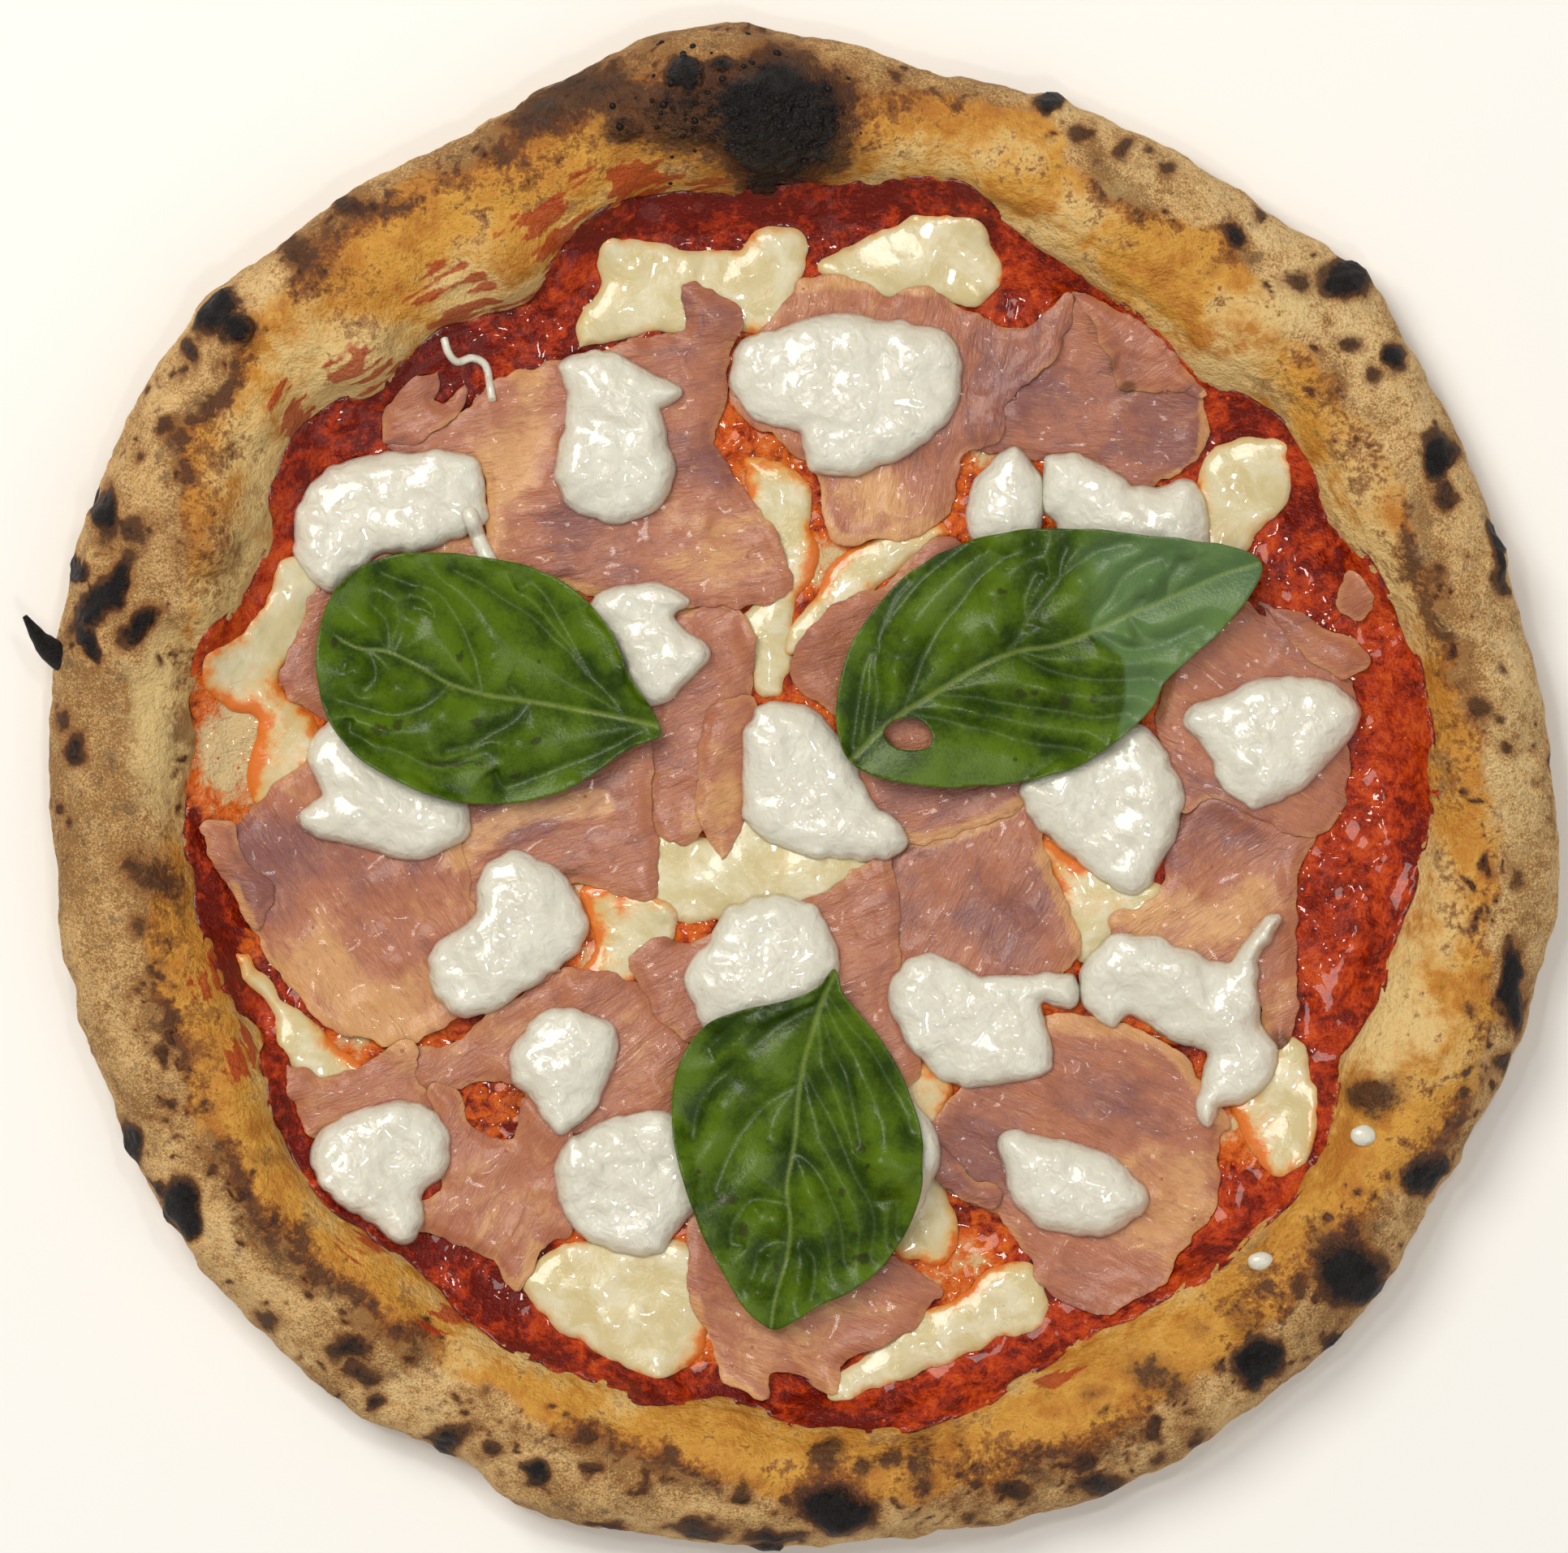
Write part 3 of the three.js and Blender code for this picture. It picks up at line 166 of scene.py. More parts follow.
# Each leaf, in pixels: its midrib from the stem to the tip, its side veins, its blistered places as x, y
# and reach, its brown specks, and where it is paler.
LEAVES = {
    "basil_left": {
        "midrib": [(815, 895), (760, 883), (700, 872), (640, 862), (600, 856), (555, 843),
                   (510, 818), (475, 802), (440, 798), (412, 783)],
        "veins": [
            [(592, 848), (586, 815), (572, 780), (555, 750), (535, 728), (500, 718), (470, 706)],
            [(770, 880), (745, 850), (722, 830), (700, 802), (680, 785), (655, 760), (620, 738),
             (590, 718), (560, 704)],
            [(765, 866), (740, 845), (722, 820), (705, 790), (690, 765), (672, 735), (655, 718)],
            [(478, 802), (478, 785), (475, 765), (460, 748)], [(486, 800), (498, 775), (510, 748)],
            [(650, 866), (630, 890), (605, 903), (580, 918), (550, 925)],
            [(790, 900), (740, 926), (690, 945), (650, 960), (620, 970)],
            [(550, 845), (530, 866), (485, 880), (450, 872), (415, 862)],
            [(600, 925), (540, 945), (490, 925), (430, 905)],
            [(445, 800), (458, 812), (462, 835), (448, 850)]],
        "blisters": [(452, 768, 20), (505, 765, 16), (440, 826, 22), (492, 848, 30), (605, 785, 34),
                     (545, 880, 26), (470, 905, 24), (640, 915, 26)],
        "specks": [(470, 900, 14, 8), (490, 892, 9, 7), (566, 808, 5, 6), (588, 888, 9, 6),
                   (660, 913, 8, 4), (412, 790, 5, 7), (635, 955, 8, 3), (665, 815, 3, 4),
                   (560, 940, 40, 4)],
        "pale": None,
    },
    "basil_right": {
        "midrib": [(1045, 940), (1080, 905), (1110, 880), (1150, 855), (1205, 822), (1250, 803),
                   (1300, 795), (1345, 778), (1395, 755), (1450, 732), (1510, 706), (1554, 693)],
        "veins": [
            [(1072, 910), (1082, 850), (1078, 820), (1085, 780), (1100, 740), (1120, 715)],
            [(1112, 878), (1130, 830), (1142, 800), (1160, 770), (1185, 740), (1210, 710),
             (1240, 685), (1272, 670)],
            [(1050, 920), (1060, 850), (1070, 810), (1095, 765), (1130, 720), (1165, 690), (1200, 665)],
            [(1235, 808), (1255, 780), (1270, 755), (1295, 725), (1310, 710), (1335, 690),
             (1360, 675), (1395, 668)],
            [(1264, 768), (1262, 740), (1268, 720), (1275, 705)], [(1305, 714), (1308, 690), (1315, 675)],
            [(1150, 855), (1200, 860), (1250, 868), (1300, 875), (1350, 883), (1390, 878)],
            [(1118, 878), (1180, 890), (1220, 900), (1270, 915), (1330, 922)],
            [(1250, 803), (1290, 825), (1330, 835), (1370, 838), (1420, 835)],
            [(1345, 780), (1350, 760), (1370, 735), (1390, 705), (1430, 685)],
            [(1440, 736), (1442, 715), (1455, 695)], [(1390, 758), (1410, 785), (1440, 787), (1480, 770)],
            [(1355, 782), (1390, 798), (1420, 795), (1440, 788)]],
        "blisters": [(1100, 830, 26), (1120, 790, 28), (1180, 800, 26), (1230, 780, 24), (1220, 730, 28),
                     (1290, 850, 22), (1200, 880, 26), (1330, 715, 22), (1420, 720, 20), (1390, 785, 16)],
        "specks": [(1257, 855, 9, 5), (1275, 853, 5, 4), (1312, 863, 9, 9), (1348, 862, 6, 5),
                   (1235, 727, 6, 4), (1212, 880, 4, 4), (1288, 868, 4, 4), (1250, 936, 4, 3)],
        "pale": [(1340, 672), (1342, 740), (1345, 778), (1370, 800), (1384, 815), (1386, 860),
                 (1380, 910), (1430, 880), (1500, 780), (1570, 700), (1480, 640), (1400, 650)],
    },
    "basil_lower": {
        "midrib": [(1030, 1194), (1012, 1235), (1000, 1275), (990, 1310), (984, 1350), (980, 1400),
                   (975, 1430), (970, 1460), (973, 1500), (973, 1530), (966, 1565), (955, 1600),
                   (950, 1636)],
        "veins": [
            [(1014, 1232), (985, 1248), (960, 1262), (935, 1282), (905, 1312), (880, 1335),
             (862, 1365), (853, 1400)],
            [(1018, 1222), (960, 1236), (920, 1250), (895, 1270), (872, 1290)],
            [(986, 1335), (950, 1355), (925, 1380), (910, 1400), (895, 1430), (880, 1465)],
            [(990, 1312), (1005, 1345), (1022, 1375), (1040, 1415), (1055, 1450), (1072, 1480),
             (1078, 1510), (1072, 1550)],
            [(978, 1418), (1000, 1435), (1015, 1460), (1030, 1490), (1038, 1520), (1040, 1555)],
            [(1018, 1222), (1045, 1262), (1070, 1290), (1090, 1325), (1110, 1360), (1122, 1395)],
            [(1010, 1240), (1025, 1290), (1045, 1330), (1052, 1370), (1060, 1410)],
            [(973, 1530), (950, 1530), (935, 1550), (925, 1575)],
            [(973, 1530), (1000, 1545), (1003, 1575), (998, 1600)],
            [(972, 1484), (945, 1478), (925, 1480), (905, 1505), (900, 1530)],
            [(1078, 1480), (1105, 1480), (1104, 1520)]],
        "blisters": [(956, 1503, 19), (984, 1536, 12), (982, 1577, 24), (935, 1592, 17), (944, 1546, 11),
                     (890, 1362, 34), (955, 1405, 24), (1000, 1470, 26), (1060, 1330, 30),
                     (920, 1300, 30), (1080, 1430, 26), (930, 1490, 12)],
        "specks": [(895, 1478, 14, 6), (916, 1515, 8, 9), (1060, 1412, 8, 6), (1062, 1550, 12, 6),
                   (1035, 1468, 5, 7), (1040, 1556, 8, 4), (860, 1444, 4, 3), (956, 1560, 5, 7),
                   (898, 1537, 4, 5), (1098, 1535, 4, 5), (1068, 1438, 4, 4), (1055, 1520, 6, 4)],
        "pale": None,
    },
}

# Where the ham is creamy (above 0) or mauve (below 0): x, y, half widths, tilt and how much.
HAM_TONES = [
    (640, 520, 46, 120, 0, 0.9), (575, 640, 50, 60, 0, 0.5), (820, 660, 100, 40, 5, 0.9),
    (730, 665, 60, 60, 0, -1.0), (690, 560, 28, 80, 0, -0.5), (600, 495, 26, 40, 0, -0.7),
    (430, 545, 60, 18, 0, -0.7), (845, 600, 70, 50, 10, -0.7), (880, 470, 60, 90, 0, -0.35),
    (1230, 420, 70, 60, 30, -0.3), (1310, 500, 110, 60, 0, -0.6), (1420, 590, 80, 40, 0, -0.6),
    (1440, 510, 50, 30, 20, -0.9), (1080, 605, 70, 36, -10, 0.8), (1040, 560, 40, 30, 0, -0.5),
    (1160, 560, 40, 60, 0, -0.4), (1010, 370, 60, 30, 0, 0.4), (340, 1085, 44, 62, 0, -0.9),
    (320, 1030, 40, 22, 0, -0.6), (490, 1165, 60, 46, 0, -0.45), (480, 1062, 56, 34, 0, -0.5),
    (375, 1180, 80, 56, 0, 0.7), (490, 1245, 90, 44, 5, 1.0), (525, 1105, 46, 34, 0, 0.5),
    (620, 985, 110, 50, 10, -0.6), (700, 1020, 60, 50, 0, -0.4), (570, 1285, 80, 30, 10, 0.2),
    (420, 1350, 70, 40, 0, 0.4), (1150, 970, 100, 26, 10, -0.7), (1170, 1080, 110, 80, 35, -0.45),
    (1255, 1150, 42, 44, 0, -0.8), (1470, 1010, 60, 60, 0, -0.8), (1470, 1125, 90, 46, 10, 0.8),
    (1562, 1062, 40, 26, 0, -0.6), (1300, 1340, 150, 40, -15, -0.35), (1195, 1430, 60, 50, -30, -0.9),
    (1430, 1460, 60, 70, 0, 0.8), (1400, 1385, 60, 26, 0, -0.6), (960, 1670, 100, 60, 0, 0.55),
    (620, 1530, 70, 60, 0, 0.3), (1600, 770, 70, 46, -30, -0.4), (1580, 1240, 26, 60, 10, 0.3),
    (1030, 1100, 50, 60, 0, 0.3), (890, 1000, 30, 90, 0, 0.8), (850, 930, 40, 80, 0, -0.3),
]

# Browned edges of the ham: x, y, half widths, tilt and strength.
HAM_CRISPS = [
    (1582, 1290, 14, 20, 10, 1.2), (1388, 478, 14, 9, 0, 1.0), (1372, 446, 8, 18, -30, 0.8),
    (1345, 405, 9, 12, 0, 0.6), (835, 1160, 30, 8, 10, 0.7), (545, 455, 6, 16, 0, 0.5),
    (480, 1300, 14, 9, 0, 0.5), (1130, 1050, 30, 6, -10, 0.7), (705, 1075, 26, 7, 10, 0.8),
    (860, 800, 20, 8, 0, 0.4), (935, 1740, 26, 9, 30, 0.6), (1500, 540, 7, 14, 0, 0.7),
]

# The direction of the ham's fibres, in degrees.
HAM_GRAIN = {
    "ham_01": 62, "ham_02": 35, "ham_05": 15, "ham_07": 18, "ham_08": -55, "ham_10": 8, "ham_12": -8,
    "ham_13": 80, "ham_14": 35, "ham_15": -30, "ham_16": 20, "ham_17": 60, "ham_18": -20, "ham_19": -25,
}

# Where orange oil has run over the cheese and the sauce: x, y, half widths, tilt and strength. The wave
# that makes the stains' edges ragged is the same on both.
OIL_WAVE = (2 * MM, 6 * MM, 61)
OIL_STAINS = [
    (300, 920, 80, 90, 0, 1.15), (345, 1010, 40, 30, 0, 1.0), (255, 860, 60, 30, 30, 0.5),
    (1310, 1060, 40, 60, -20, 1.0), (1350, 1120, 50, 30, 0, 0.8), (1540, 1390, 50, 50, 30, 0.9),
    (940, 380, 26, 70, 0, 0.6), (955, 560, 60, 40, 30, 0.8), (1015, 690, 50, 40, 0, 0.9),
    (1150, 640, 50, 26, 40, 0.7), (1450, 640, 60, 40, 0, 0.9), (1130, 1330, 40, 60, 0, 1.0),
    (740, 1110, 50, 60, 0, 1.0), (730, 1190, 40, 40, 0, 0.9), (640, 1370, 50, 40, 0, 0.6),
    (1210, 555, 40, 40, 0, 1.0), (1440, 1260, 60, 30, -30, 0.7), (880, 1640, 40, 50, 0, 0.8),
    (1180, 1560, 60, 50, 0, 0.8), (430, 1290, 40, 40, 0, 0.9), (300, 1170, 20, 40, 0, 0.6),
]

# Domes and hollows of the rim: x, y, reach in pixels and height in millimetres.
RIM_BUBBLES = [
    (845, 92, 20, 1.2), (270, 384, 34, 1.5), (300, 414, 24, 1.3), (385, 362, 15, 1.0),
    (172, 660, 24, 1.2), (215, 525, 14, 1.0), (1675, 340, 24, 1.0), (1294, 132, 24, 0.9),
    (1843, 690, 20, 0.9), (120, 705, 26, 0.9), (124, 640, 20, 1.0), (222, 1490, 22, 1.1),
    (1035, 1868, 30, 1.0), (1552, 1676, 30, -1.6), (1756, 1450, 28, -1.8), (1770, 566, 24, -1.0),
    (1240, 1834, 16, -0.8), (1290, 1716, 12, 0.7), (718, 1762, 18, 0.8), (262, 680, 34, 1.2),
    (1690, 1345, 34, 1.6), (1530, 1616, 26, 1.0), (1660, 1562, 40, -1.2), (690, 152, 34, 1.5),
    (925, 150, 60, 1.6), (960, 105, 30, 1.2), (1020, 1786, 24, 1.2), (1132, 1800, 26, 1.0),
    (455, 440, 60, 1.8), (640, 330, 60, 2.0), (320, 500, 50, 1.6), (545, 300, 50, -1.4),
    (720, 250, 60, 1.3), (800, 215, 50, -0.9), (420, 400, 36, -1.0), (300, 570, 26, -1.0),
    (262, 760, 44, 1.6), (268, 640, 50, 1.6), (250, 870, 30, -0.8), (1620, 470, 40, 1.2),
    (1700, 780, 46, -0.8), (1730, 1180, 60, 1.2), (480, 1640, 50, 1.0), (260, 1180, 40, 1.0),
    (300, 1360, 44, 1.2), (900, 1800, 50, 1.0), (1560, 420, 50, 1.2), (1250, 210, 50, 1.2),
    (350, 335, 30, 1.0), (620, 165, 36, 1.2), (1460, 1560, 36, 1.0), (1780, 950, 50, 1.2),
]

# Where the rim is painted browner all over: browning, and on the outer left side painted shade. Where it is
# painted paler: pale dough, and on the inner left wall and the outer right side painted light. Each is x, y,
# half widths, tilt, strength.
RIM_TANS_AND_SHADE = [
    (130, 930, 90, 240, 0, 0.55), (880, 60, 190, 60, 0, 0.7), (1300, 1850, 240, 50, -20, 0.5),
    (1640, 1640, 150, 60, -42, 0.55), (1860, 1150, 40, 190, 0, 0.4), (420, 1690, 120, 50, 40, 0.4),
    (240, 620, 60, 120, 0, 0.45), (390, 330, 80, 40, -40, 0.5), (600, 180, 110, 40, -20, 0.6),
    (740, 1840, 120, 40, 12, 0.45), (205, 1110, 60, 120, 0, 0.5), (1120, 110, 130, 50, 10, 0.55),
    (1660, 560, 50, 110, 30, 0.3), (1790, 880, 36, 190, 0, 0.45), (230, 1330, 50, 110, -20, 0.5),
]
RIM_PALES_AND_LIGHT = [
    (420, 460, 110, 60, -40, 0.8), (300, 600, 50, 140, -10, 0.7), (262, 810, 40, 90, 0, 0.9),
    (216, 890, 44, 96, 0, 1.3), (290, 760, 40, 60, 0, 0.9), (1860, 950, 50, 260, 0, 0.5),
    (1670, 400, 220, 46, -53, 0.45), (1540, 410, 150, 46, 40, 0.8), (1700, 640, 46, 130, 15, 0.7),
    (1720, 1260, 70, 60, 0, 0.9), (1760, 1150, 50, 90, 0, 0.6), (330, 540, 80, 70, 0, 0.6),
    (1330, 260, 130, 34, 25, 0.6), (640, 1640, 130, 30, 25, 0.5), (1180, 180, 110, 30, 5, 0.5),
    (170, 900, 50, 50, 0, 0.4), (612, 372, 60, 40, -30, 0.7),
]

# Threads of stracciatella that lie apart from the dollops, each with its radius in millimetres, and the
# drops on the rim.
THREADS = [
    (0.85, [(547, 417), (552, 434), (563, 445), (580, 440), (594, 445), (600, 456), (603, 474),
            (606, 492)]),
    (1.7, [(578, 632), (586, 655), (594, 675), (604, 694), (612, 706)]),
]
RIM_DROPS = [(1552, 1552, 2.7, 1.9), (1677, 1397, 2.5, 2.1)]  # x, y and half widths in millimetres
# A burnt thread of dough that sticks out of the rim: x, y, height and radius, the last three in millimetres.
BURNT_TIP = [(100, 822, 12.5, 4.2), (70, 806, 13.5, 3.2), (52, 790, 14.5, 2.0), (40, 773, 15.2, 1.3),
             (31, 759, 15.8, 0.6)]


# ---------------------------------------------------------------- what a user would change
def linear(red, green, blue):
    """A colour written in 0..255, as linear light."""
    channels = (c / 255 for c in (red, green, blue))
    return tuple(c / 12.92 if c <= 0.04045 else ((c + 0.055) / 1.055) ** 2.4 for c in channels)


def length_property(name, description, default):
    return FloatProperty(name=name, description=description, default=default, unit="LENGTH", min=0)


def colour_property(name, description, *rgb):
    return FloatVectorProperty(
        name=name, description=description, default=linear(*rgb), subtype="COLOR", min=0, max=1)


class CrustSettings(bpy.types.PropertyGroup):
    stations: IntProperty(name="Stations", description="Sections round the rim", default=900)
    rows: IntProperty(name="Rows", description="Points over one section of the rim", default=92)
    lump: length_property("Lump height", "Height of the rim's large unevenness", 0.9 * MM)
    blister: length_property("Blister height", "How far burnt blisters stand up", 0.7 * MM)
    # Grit, toast and baked also darken the rim where it carries painted shade; crumb and flour lighten it
    # where it carries painted light.
    dusty: colour_property("Floured crust", "Outer side of the rim", 225, 181, 118)
    grit: colour_property("Grit", "Dark grain of the outer side", 154, 110, 62)
    flour: colour_property("Flour", "Flour on the outer side", 242, 212, 158)
    golden: colour_property("Golden crust", "Inner side of the rim", 215, 157, 63)
    amber: colour_property("Amber crust", "Browner patches of the golden side", 188, 119, 40)
    baked: colour_property("Well baked", "Brown of the golden side", 140, 78, 24)
    crumb: colour_property("Pale crumb", "Pale dough of the inner wall", 230, 198, 134)
    toast: colour_property("Toasted", "Brown of a burnt place", 74, 42, 24)
    char: colour_property("Char", "Burnt black", 24, 19, 18)
    smear: colour_property("Sauce smear", "Sauce on the inner wall", 168, 44, 8)


class ToppingSettings(bpy.types.PropertyGroup):
    sauce: colour_property("Sauce", "Tomato sauce", 178, 52, 6)
    # sauce_dark is thick sauce, and also the colour of the painted shade where the rim overhangs the sauce.
    sauce_dark: colour_property("Dark sauce", "Thick tomato sauce", 106, 16, 0)
    sauce_bright: colour_property("Bright sauce", "Pulp that stands out of the sauce", 208, 84, 22)
    sauce_oil: colour_property("Oil on sauce", "Orange oil on the sauce", 222, 106, 20)
    mozzarella: colour_property("Mozzarella", "Melted mozzarella", 209, 192, 141)
    mozzarella_white: colour_property("White mozzarella", "Whiter patches", 222, 212, 176)
    mozzarella_tint: colour_property("Oily mozzarella", "Cheese tinted by sauce", 222, 156, 60)
    ham: colour_property("Ham", "Lean ham", 176, 110, 80)
    ham_dark: colour_property("Dark ham", "Darker muscle", 134, 84, 78)
    ham_fat: colour_property("Ham fat", "Fat and thin edges", 215, 162, 105)
    cream: colour_property("Stracciatella", "Stracciatella", 220, 216, 198)
    leaf: colour_property("Basil", "Upper face of a leaf", 84, 110, 10)
    leaf_dark: colour_property("Dark basil", "Shaded green of a leaf", 38, 60, 4)
    leaf_vein: colour_property("Basil vein", "Veins of a leaf", 134, 152, 56)
    leaf_pale: colour_property("Pale basil", "Turned part of a leaf", 108, 138, 92)
    leaf_speck: colour_property("Basil specks", "Bruises of a leaf", 44, 40, 16)
    ham_thickness: length_property("Ham thickness", "Thickness of a slice", 0.95 * MM)
    dollop_height: length_property("Dollop height", "Height of a dollop", 5.0 * MM)
    cheese_height: length_property("Cheese height", "Height of melted mozzarella", 1.9 * MM)
    leaf_thickness: length_property("Leaf thickness", "Thickness of a leaf", 0.5 * MM)


class StageSettings(bpy.types.PropertyGroup):
    camera_height: length_property("Camera height", "From the floor to the camera", 2.6)
    floor: colour_property("Floor", "Plain floor", 250, 248, 243)
    key_power: FloatProperty(name="Key light", description="Watts of the key light", default=22)
    fill: FloatProperty(name="Fill", description="Strength of the light from all round", default=0.32)


# ---------------------------------------------------------------- numbers over a plan
HASH_FACTORS = np.array([374761393, 668265263, 1442695041])
HASH_MIX = 1274126177


def noise(points, size, seed=0):
    """Smooth noise from -1 to 1 at points of two or three coordinates, with features of a size."""
    factors = HASH_FACTORS[: points.shape[1]]
    scaled = points / size + seed * 17.31 + 500
    cell = np.floor(scaled).astype(np.int64)
    part = scaled - cell
    part = part ** 3 * (part * (part * 6 - 15) + 10)
    total = np.zeros(len(points))
    for corner in itertools.product((0, 1), repeat=points.shape[1]):
        code = ((cell + corner) * factors).sum(1)
        code = (code ^ (code >> 13)) * HASH_MIX
        code = code ^ (code >> 16)
        weight = np.where(corner, part, 1 - part).prod(1)
        total += weight * ((code & 0xFFFF) / 32767.5 - 1)
    return total


def step(low, high, value):
    """0 below low, 1 above high, and smooth between."""
    share = np.clip((value - low) / (high - low), 0, 1)
    return share * share * (3 - 2 * share)


def spot_field(points, spots):
    """The strongest of many soft ellipses at each point. Each has its full strength out to half of its
    half widths, and fades to nothing at 1.8 times them."""
    field = np.zeros(len(points))
    for x, y, wide, tall, tilt, strength in spots:
        offset = points - plan((x, y))
        turn = math.radians(-tilt)
        along = (offset[:, 0] * math.cos(turn) - offset[:, 1] * math.sin(turn)) / (wide * PIXEL)
        across = (offset[:, 0] * math.sin(turn) + offset[:, 1] * math.cos(turn)) / (tall * PIXEL)
        field = np.maximum(field, strength * np.clip(1.35 - 0.75 * np.hypot(along, across), 0, 1))
    return field


def tone_field(points, spots):
    """The sum of soft ellipses at each point, from -1 to 1."""
    field = np.zeros(len(points))
    for *spot, strength in spots:
        field += strength * np.minimum(1, spot_field(points, [(*spot, 1.0)]) * 1.2)
    return np.clip(field, -1, 1)


def warped(points, *waves):
    """Points pushed about by noise, so that what is painted there has ragged edges. Each wave is how
    far, the noise's size and its seed."""
    pushed = points.copy()
    for reach, size, seed in waves:
        pushed[:, 0] += reach * noise(points, size, seed)
        pushed[:, 1] += reach * noise(points, size, seed + 50)
    return pushed


def turned(points, angle):
    """Plan points in axes turned by an angle."""
    return points @ np.array([[math.cos(angle), -math.sin(angle)], [math.sin(angle), math.cos(angle)]])


def closest(points, line, closed=False):
    """The distance from each point to a fine line of points, and the share of its length there."""
    tree = KDTree(len(line))
    for index, (x, y) in enumerate(line.tolist()):
        tree.insert((x, y, 0), index)
    tree.balance()
    nearest = np.array([tree.find((x, y, 0))[1] for x, y in points.tolist()])
    starts = line if closed else line[:-1]
    sides = (np.roll(line, -1, axis=0) if closed else line[1:]) - starts
    lengths = np.hypot(*sides.T)
    before = np.concatenate([[0], np.cumsum(lengths)])
    distance = np.full(len(points), np.inf)
    share = np.zeros(len(points))
    for side in (nearest - 1, nearest):
        side = side % len(starts) if closed else np.clip(side, 0, len(starts) - 1)
        offset = points - starts[side]
        along = np.clip((offset * sides[side]).sum(1) / np.maximum(lengths[side] ** 2, 1e-18), 0, 1)
        gap = np.hypot(*(offset - along[:, None] * sides[side]).T)
        nearer = gap < distance
        distance = np.where(nearer, gap, distance)
        share = np.where(nearer, (before[side] + along * lengths[side]) / before[-1], share)
    return distance, share


def is_inside(points, loop):
    """Whether each point is inside a closed loop."""
    after = np.roll(loop, -1, axis=0)
    inside = np.zeros(len(points), bool)
    near = np.flatnonzero(((points >= loop.min(0)) & (points <= loop.max(0))).all(1))
    BLOCK = 4096  # points at a time, which keeps the arrays small
    for first in range(0, len(near), BLOCK):
        part = near[first: first + BLOCK]
        x, y = points[part, 0, None], points[part, 1, None]
        crosses = (loop[:, 1] > y) != (after[:, 1] > y)
        rise = np.where(after[:, 1] == loop[:, 1], 1e-12, after[:, 1] - loop[:, 1])
        where = loop[:, 0] + (after[:, 0] - loop[:, 0]) * (y - loop[:, 1]) / rise
        inside[part] = (crosses & (x < where)).sum(1) % 2 == 1
    return inside


def depth_inside(points, loops):
    """How far each point is inside the first loop and outside the others; negative when it isn't."""
    inside = is_inside(points, loops[0])
    for hole in loops[1:]:
        inside &= ~is_inside(points, hole)
    distance = np.min([closest(points, loop, True)[0] for loop in loops], axis=0)
    return np.where(inside, distance, -distance)


def curve_between(a, b, c, d, share):
    """A smooth curve's points at shares of the way from b to c, where a comes before and d after."""
    return 0.5 * (2 * b + (c - a) * share + (2 * a - 5 * b + 4 * c - d) * share ** 2
                  + (3 * b - a - 3 * c + d) * share ** 3)


def smooth_curve(points, spacing, closed=True):
    """A smooth curve through points, with even steps of about the spacing."""
    if closed:
        around = [np.roll(points, k, axis=0) for k in (1, 0, -1, -2)]
    else:
        ends = np.vstack([2 * points[0] - points[1], points, 2 * points[-1] - points[-2]])
        around = [ends[k: len(points) - 1 + k] for k in range(4)]
    a, b, c, d = (side[:, None] for side in around)
    curve = curve_between(a, b, c, d, np.linspace(0, 1, 12, endpoint=False)[None, :, None])
    curve = np.vstack([curve.reshape(-1, points.shape[1]), points[:1] if closed else points[-1:]])
    travelled = np.concatenate([[0], np.cumsum(np.linalg.norm(np.diff(curve, axis=0), axis=1))])
    count = max(8, round(travelled[-1] / spacing))
    stops = np.linspace(0, travelled[-1], count, endpoint=not closed)
    return np.column_stack([np.interp(stops, travelled, column) for column in curve.T])


def outward(loop):
    """The outward directions at the points of a counter-clockwise loop."""
    along = np.roll(loop, -1, axis=0) - np.roll(loop, 1, axis=0)
    normal = np.column_stack([along[:, 1], -along[:, 0]])
    return normal / np.maximum(np.hypot(*normal.T), 1e-12)[:, None]


def signed_area(loop):
    after = np.roll(loop, -1, axis=0)
    return 0.5 * (loop[:, 0] * after[:, 1] - loop[:, 1] * after[:, 0]).sum()


# ---------------------------------------------------------------- meshes
def add_object(name, data):
    thing = bpy.data.objects.new(name, data)
    bpy.context.scene.collection.objects.link(thing)
    return thing


def make_piece(name, vertices, triangles, material, attributes=None, uv=None):
    """A smooth mesh object from arrays, with float attributes at its vertices."""
    mesh = bpy.data.meshes.new(name)
    mesh.vertices.add(len(vertices))
    mesh.vertices.foreach_set("co", np.asarray(vertices, np.float32).ravel())
    mesh.loops.add(3 * len(triangles))
    mesh.loops.foreach_set("vertex_index", np.asarray(triangles, np.int32).ravel())
    mesh.polygons.add(len(triangles))
    mesh.polygons.foreach_set("loop_start", np.arange(0, 3 * len(triangles), 3, dtype=np.int32))
    for key, values in (attributes or {}).items():
        attribute = mesh.attributes.new(key, "FLOAT", "POINT")
        attribute.data.foreach_set("value", np.asarray(values, np.float32))
    if uv is not None:
        layer = mesh.uv_layers.new(name="grain")
        layer.data.foreach_set("uv", uv[np.asarray(triangles).ravel()].astype(np.float32).ravel())
    mesh.update(calc_edges=True)
    mesh.shade_smooth()
    mesh.materials.append(material)
    return add_object(name, mesh)


def belongs(piece, slot, *nodes):
    """Sets the piece on the pizza's one body, in the place of the nodes it stands for."""
    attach(piece, "root")
    if nodes:
        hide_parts(*nodes)
    return piece


def node_triangles(node):
    """A node's corners as an array of shape (triangles, 3, 3), in metres."""
    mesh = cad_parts[node].data
    mesh.calc_loop_triangles()
    corners = np.empty(3 * len(mesh.loop_triangles), np.int32)
    mesh.loop_triangles.foreach_get("vertices", corners)
    places = np.empty(3 * len(mesh.vertices), np.float32)
    mesh.vertices.foreach_get("co", places)
    return places.reshape(-1, 3)[corners].reshape(-1, 3, 3).astype(float)


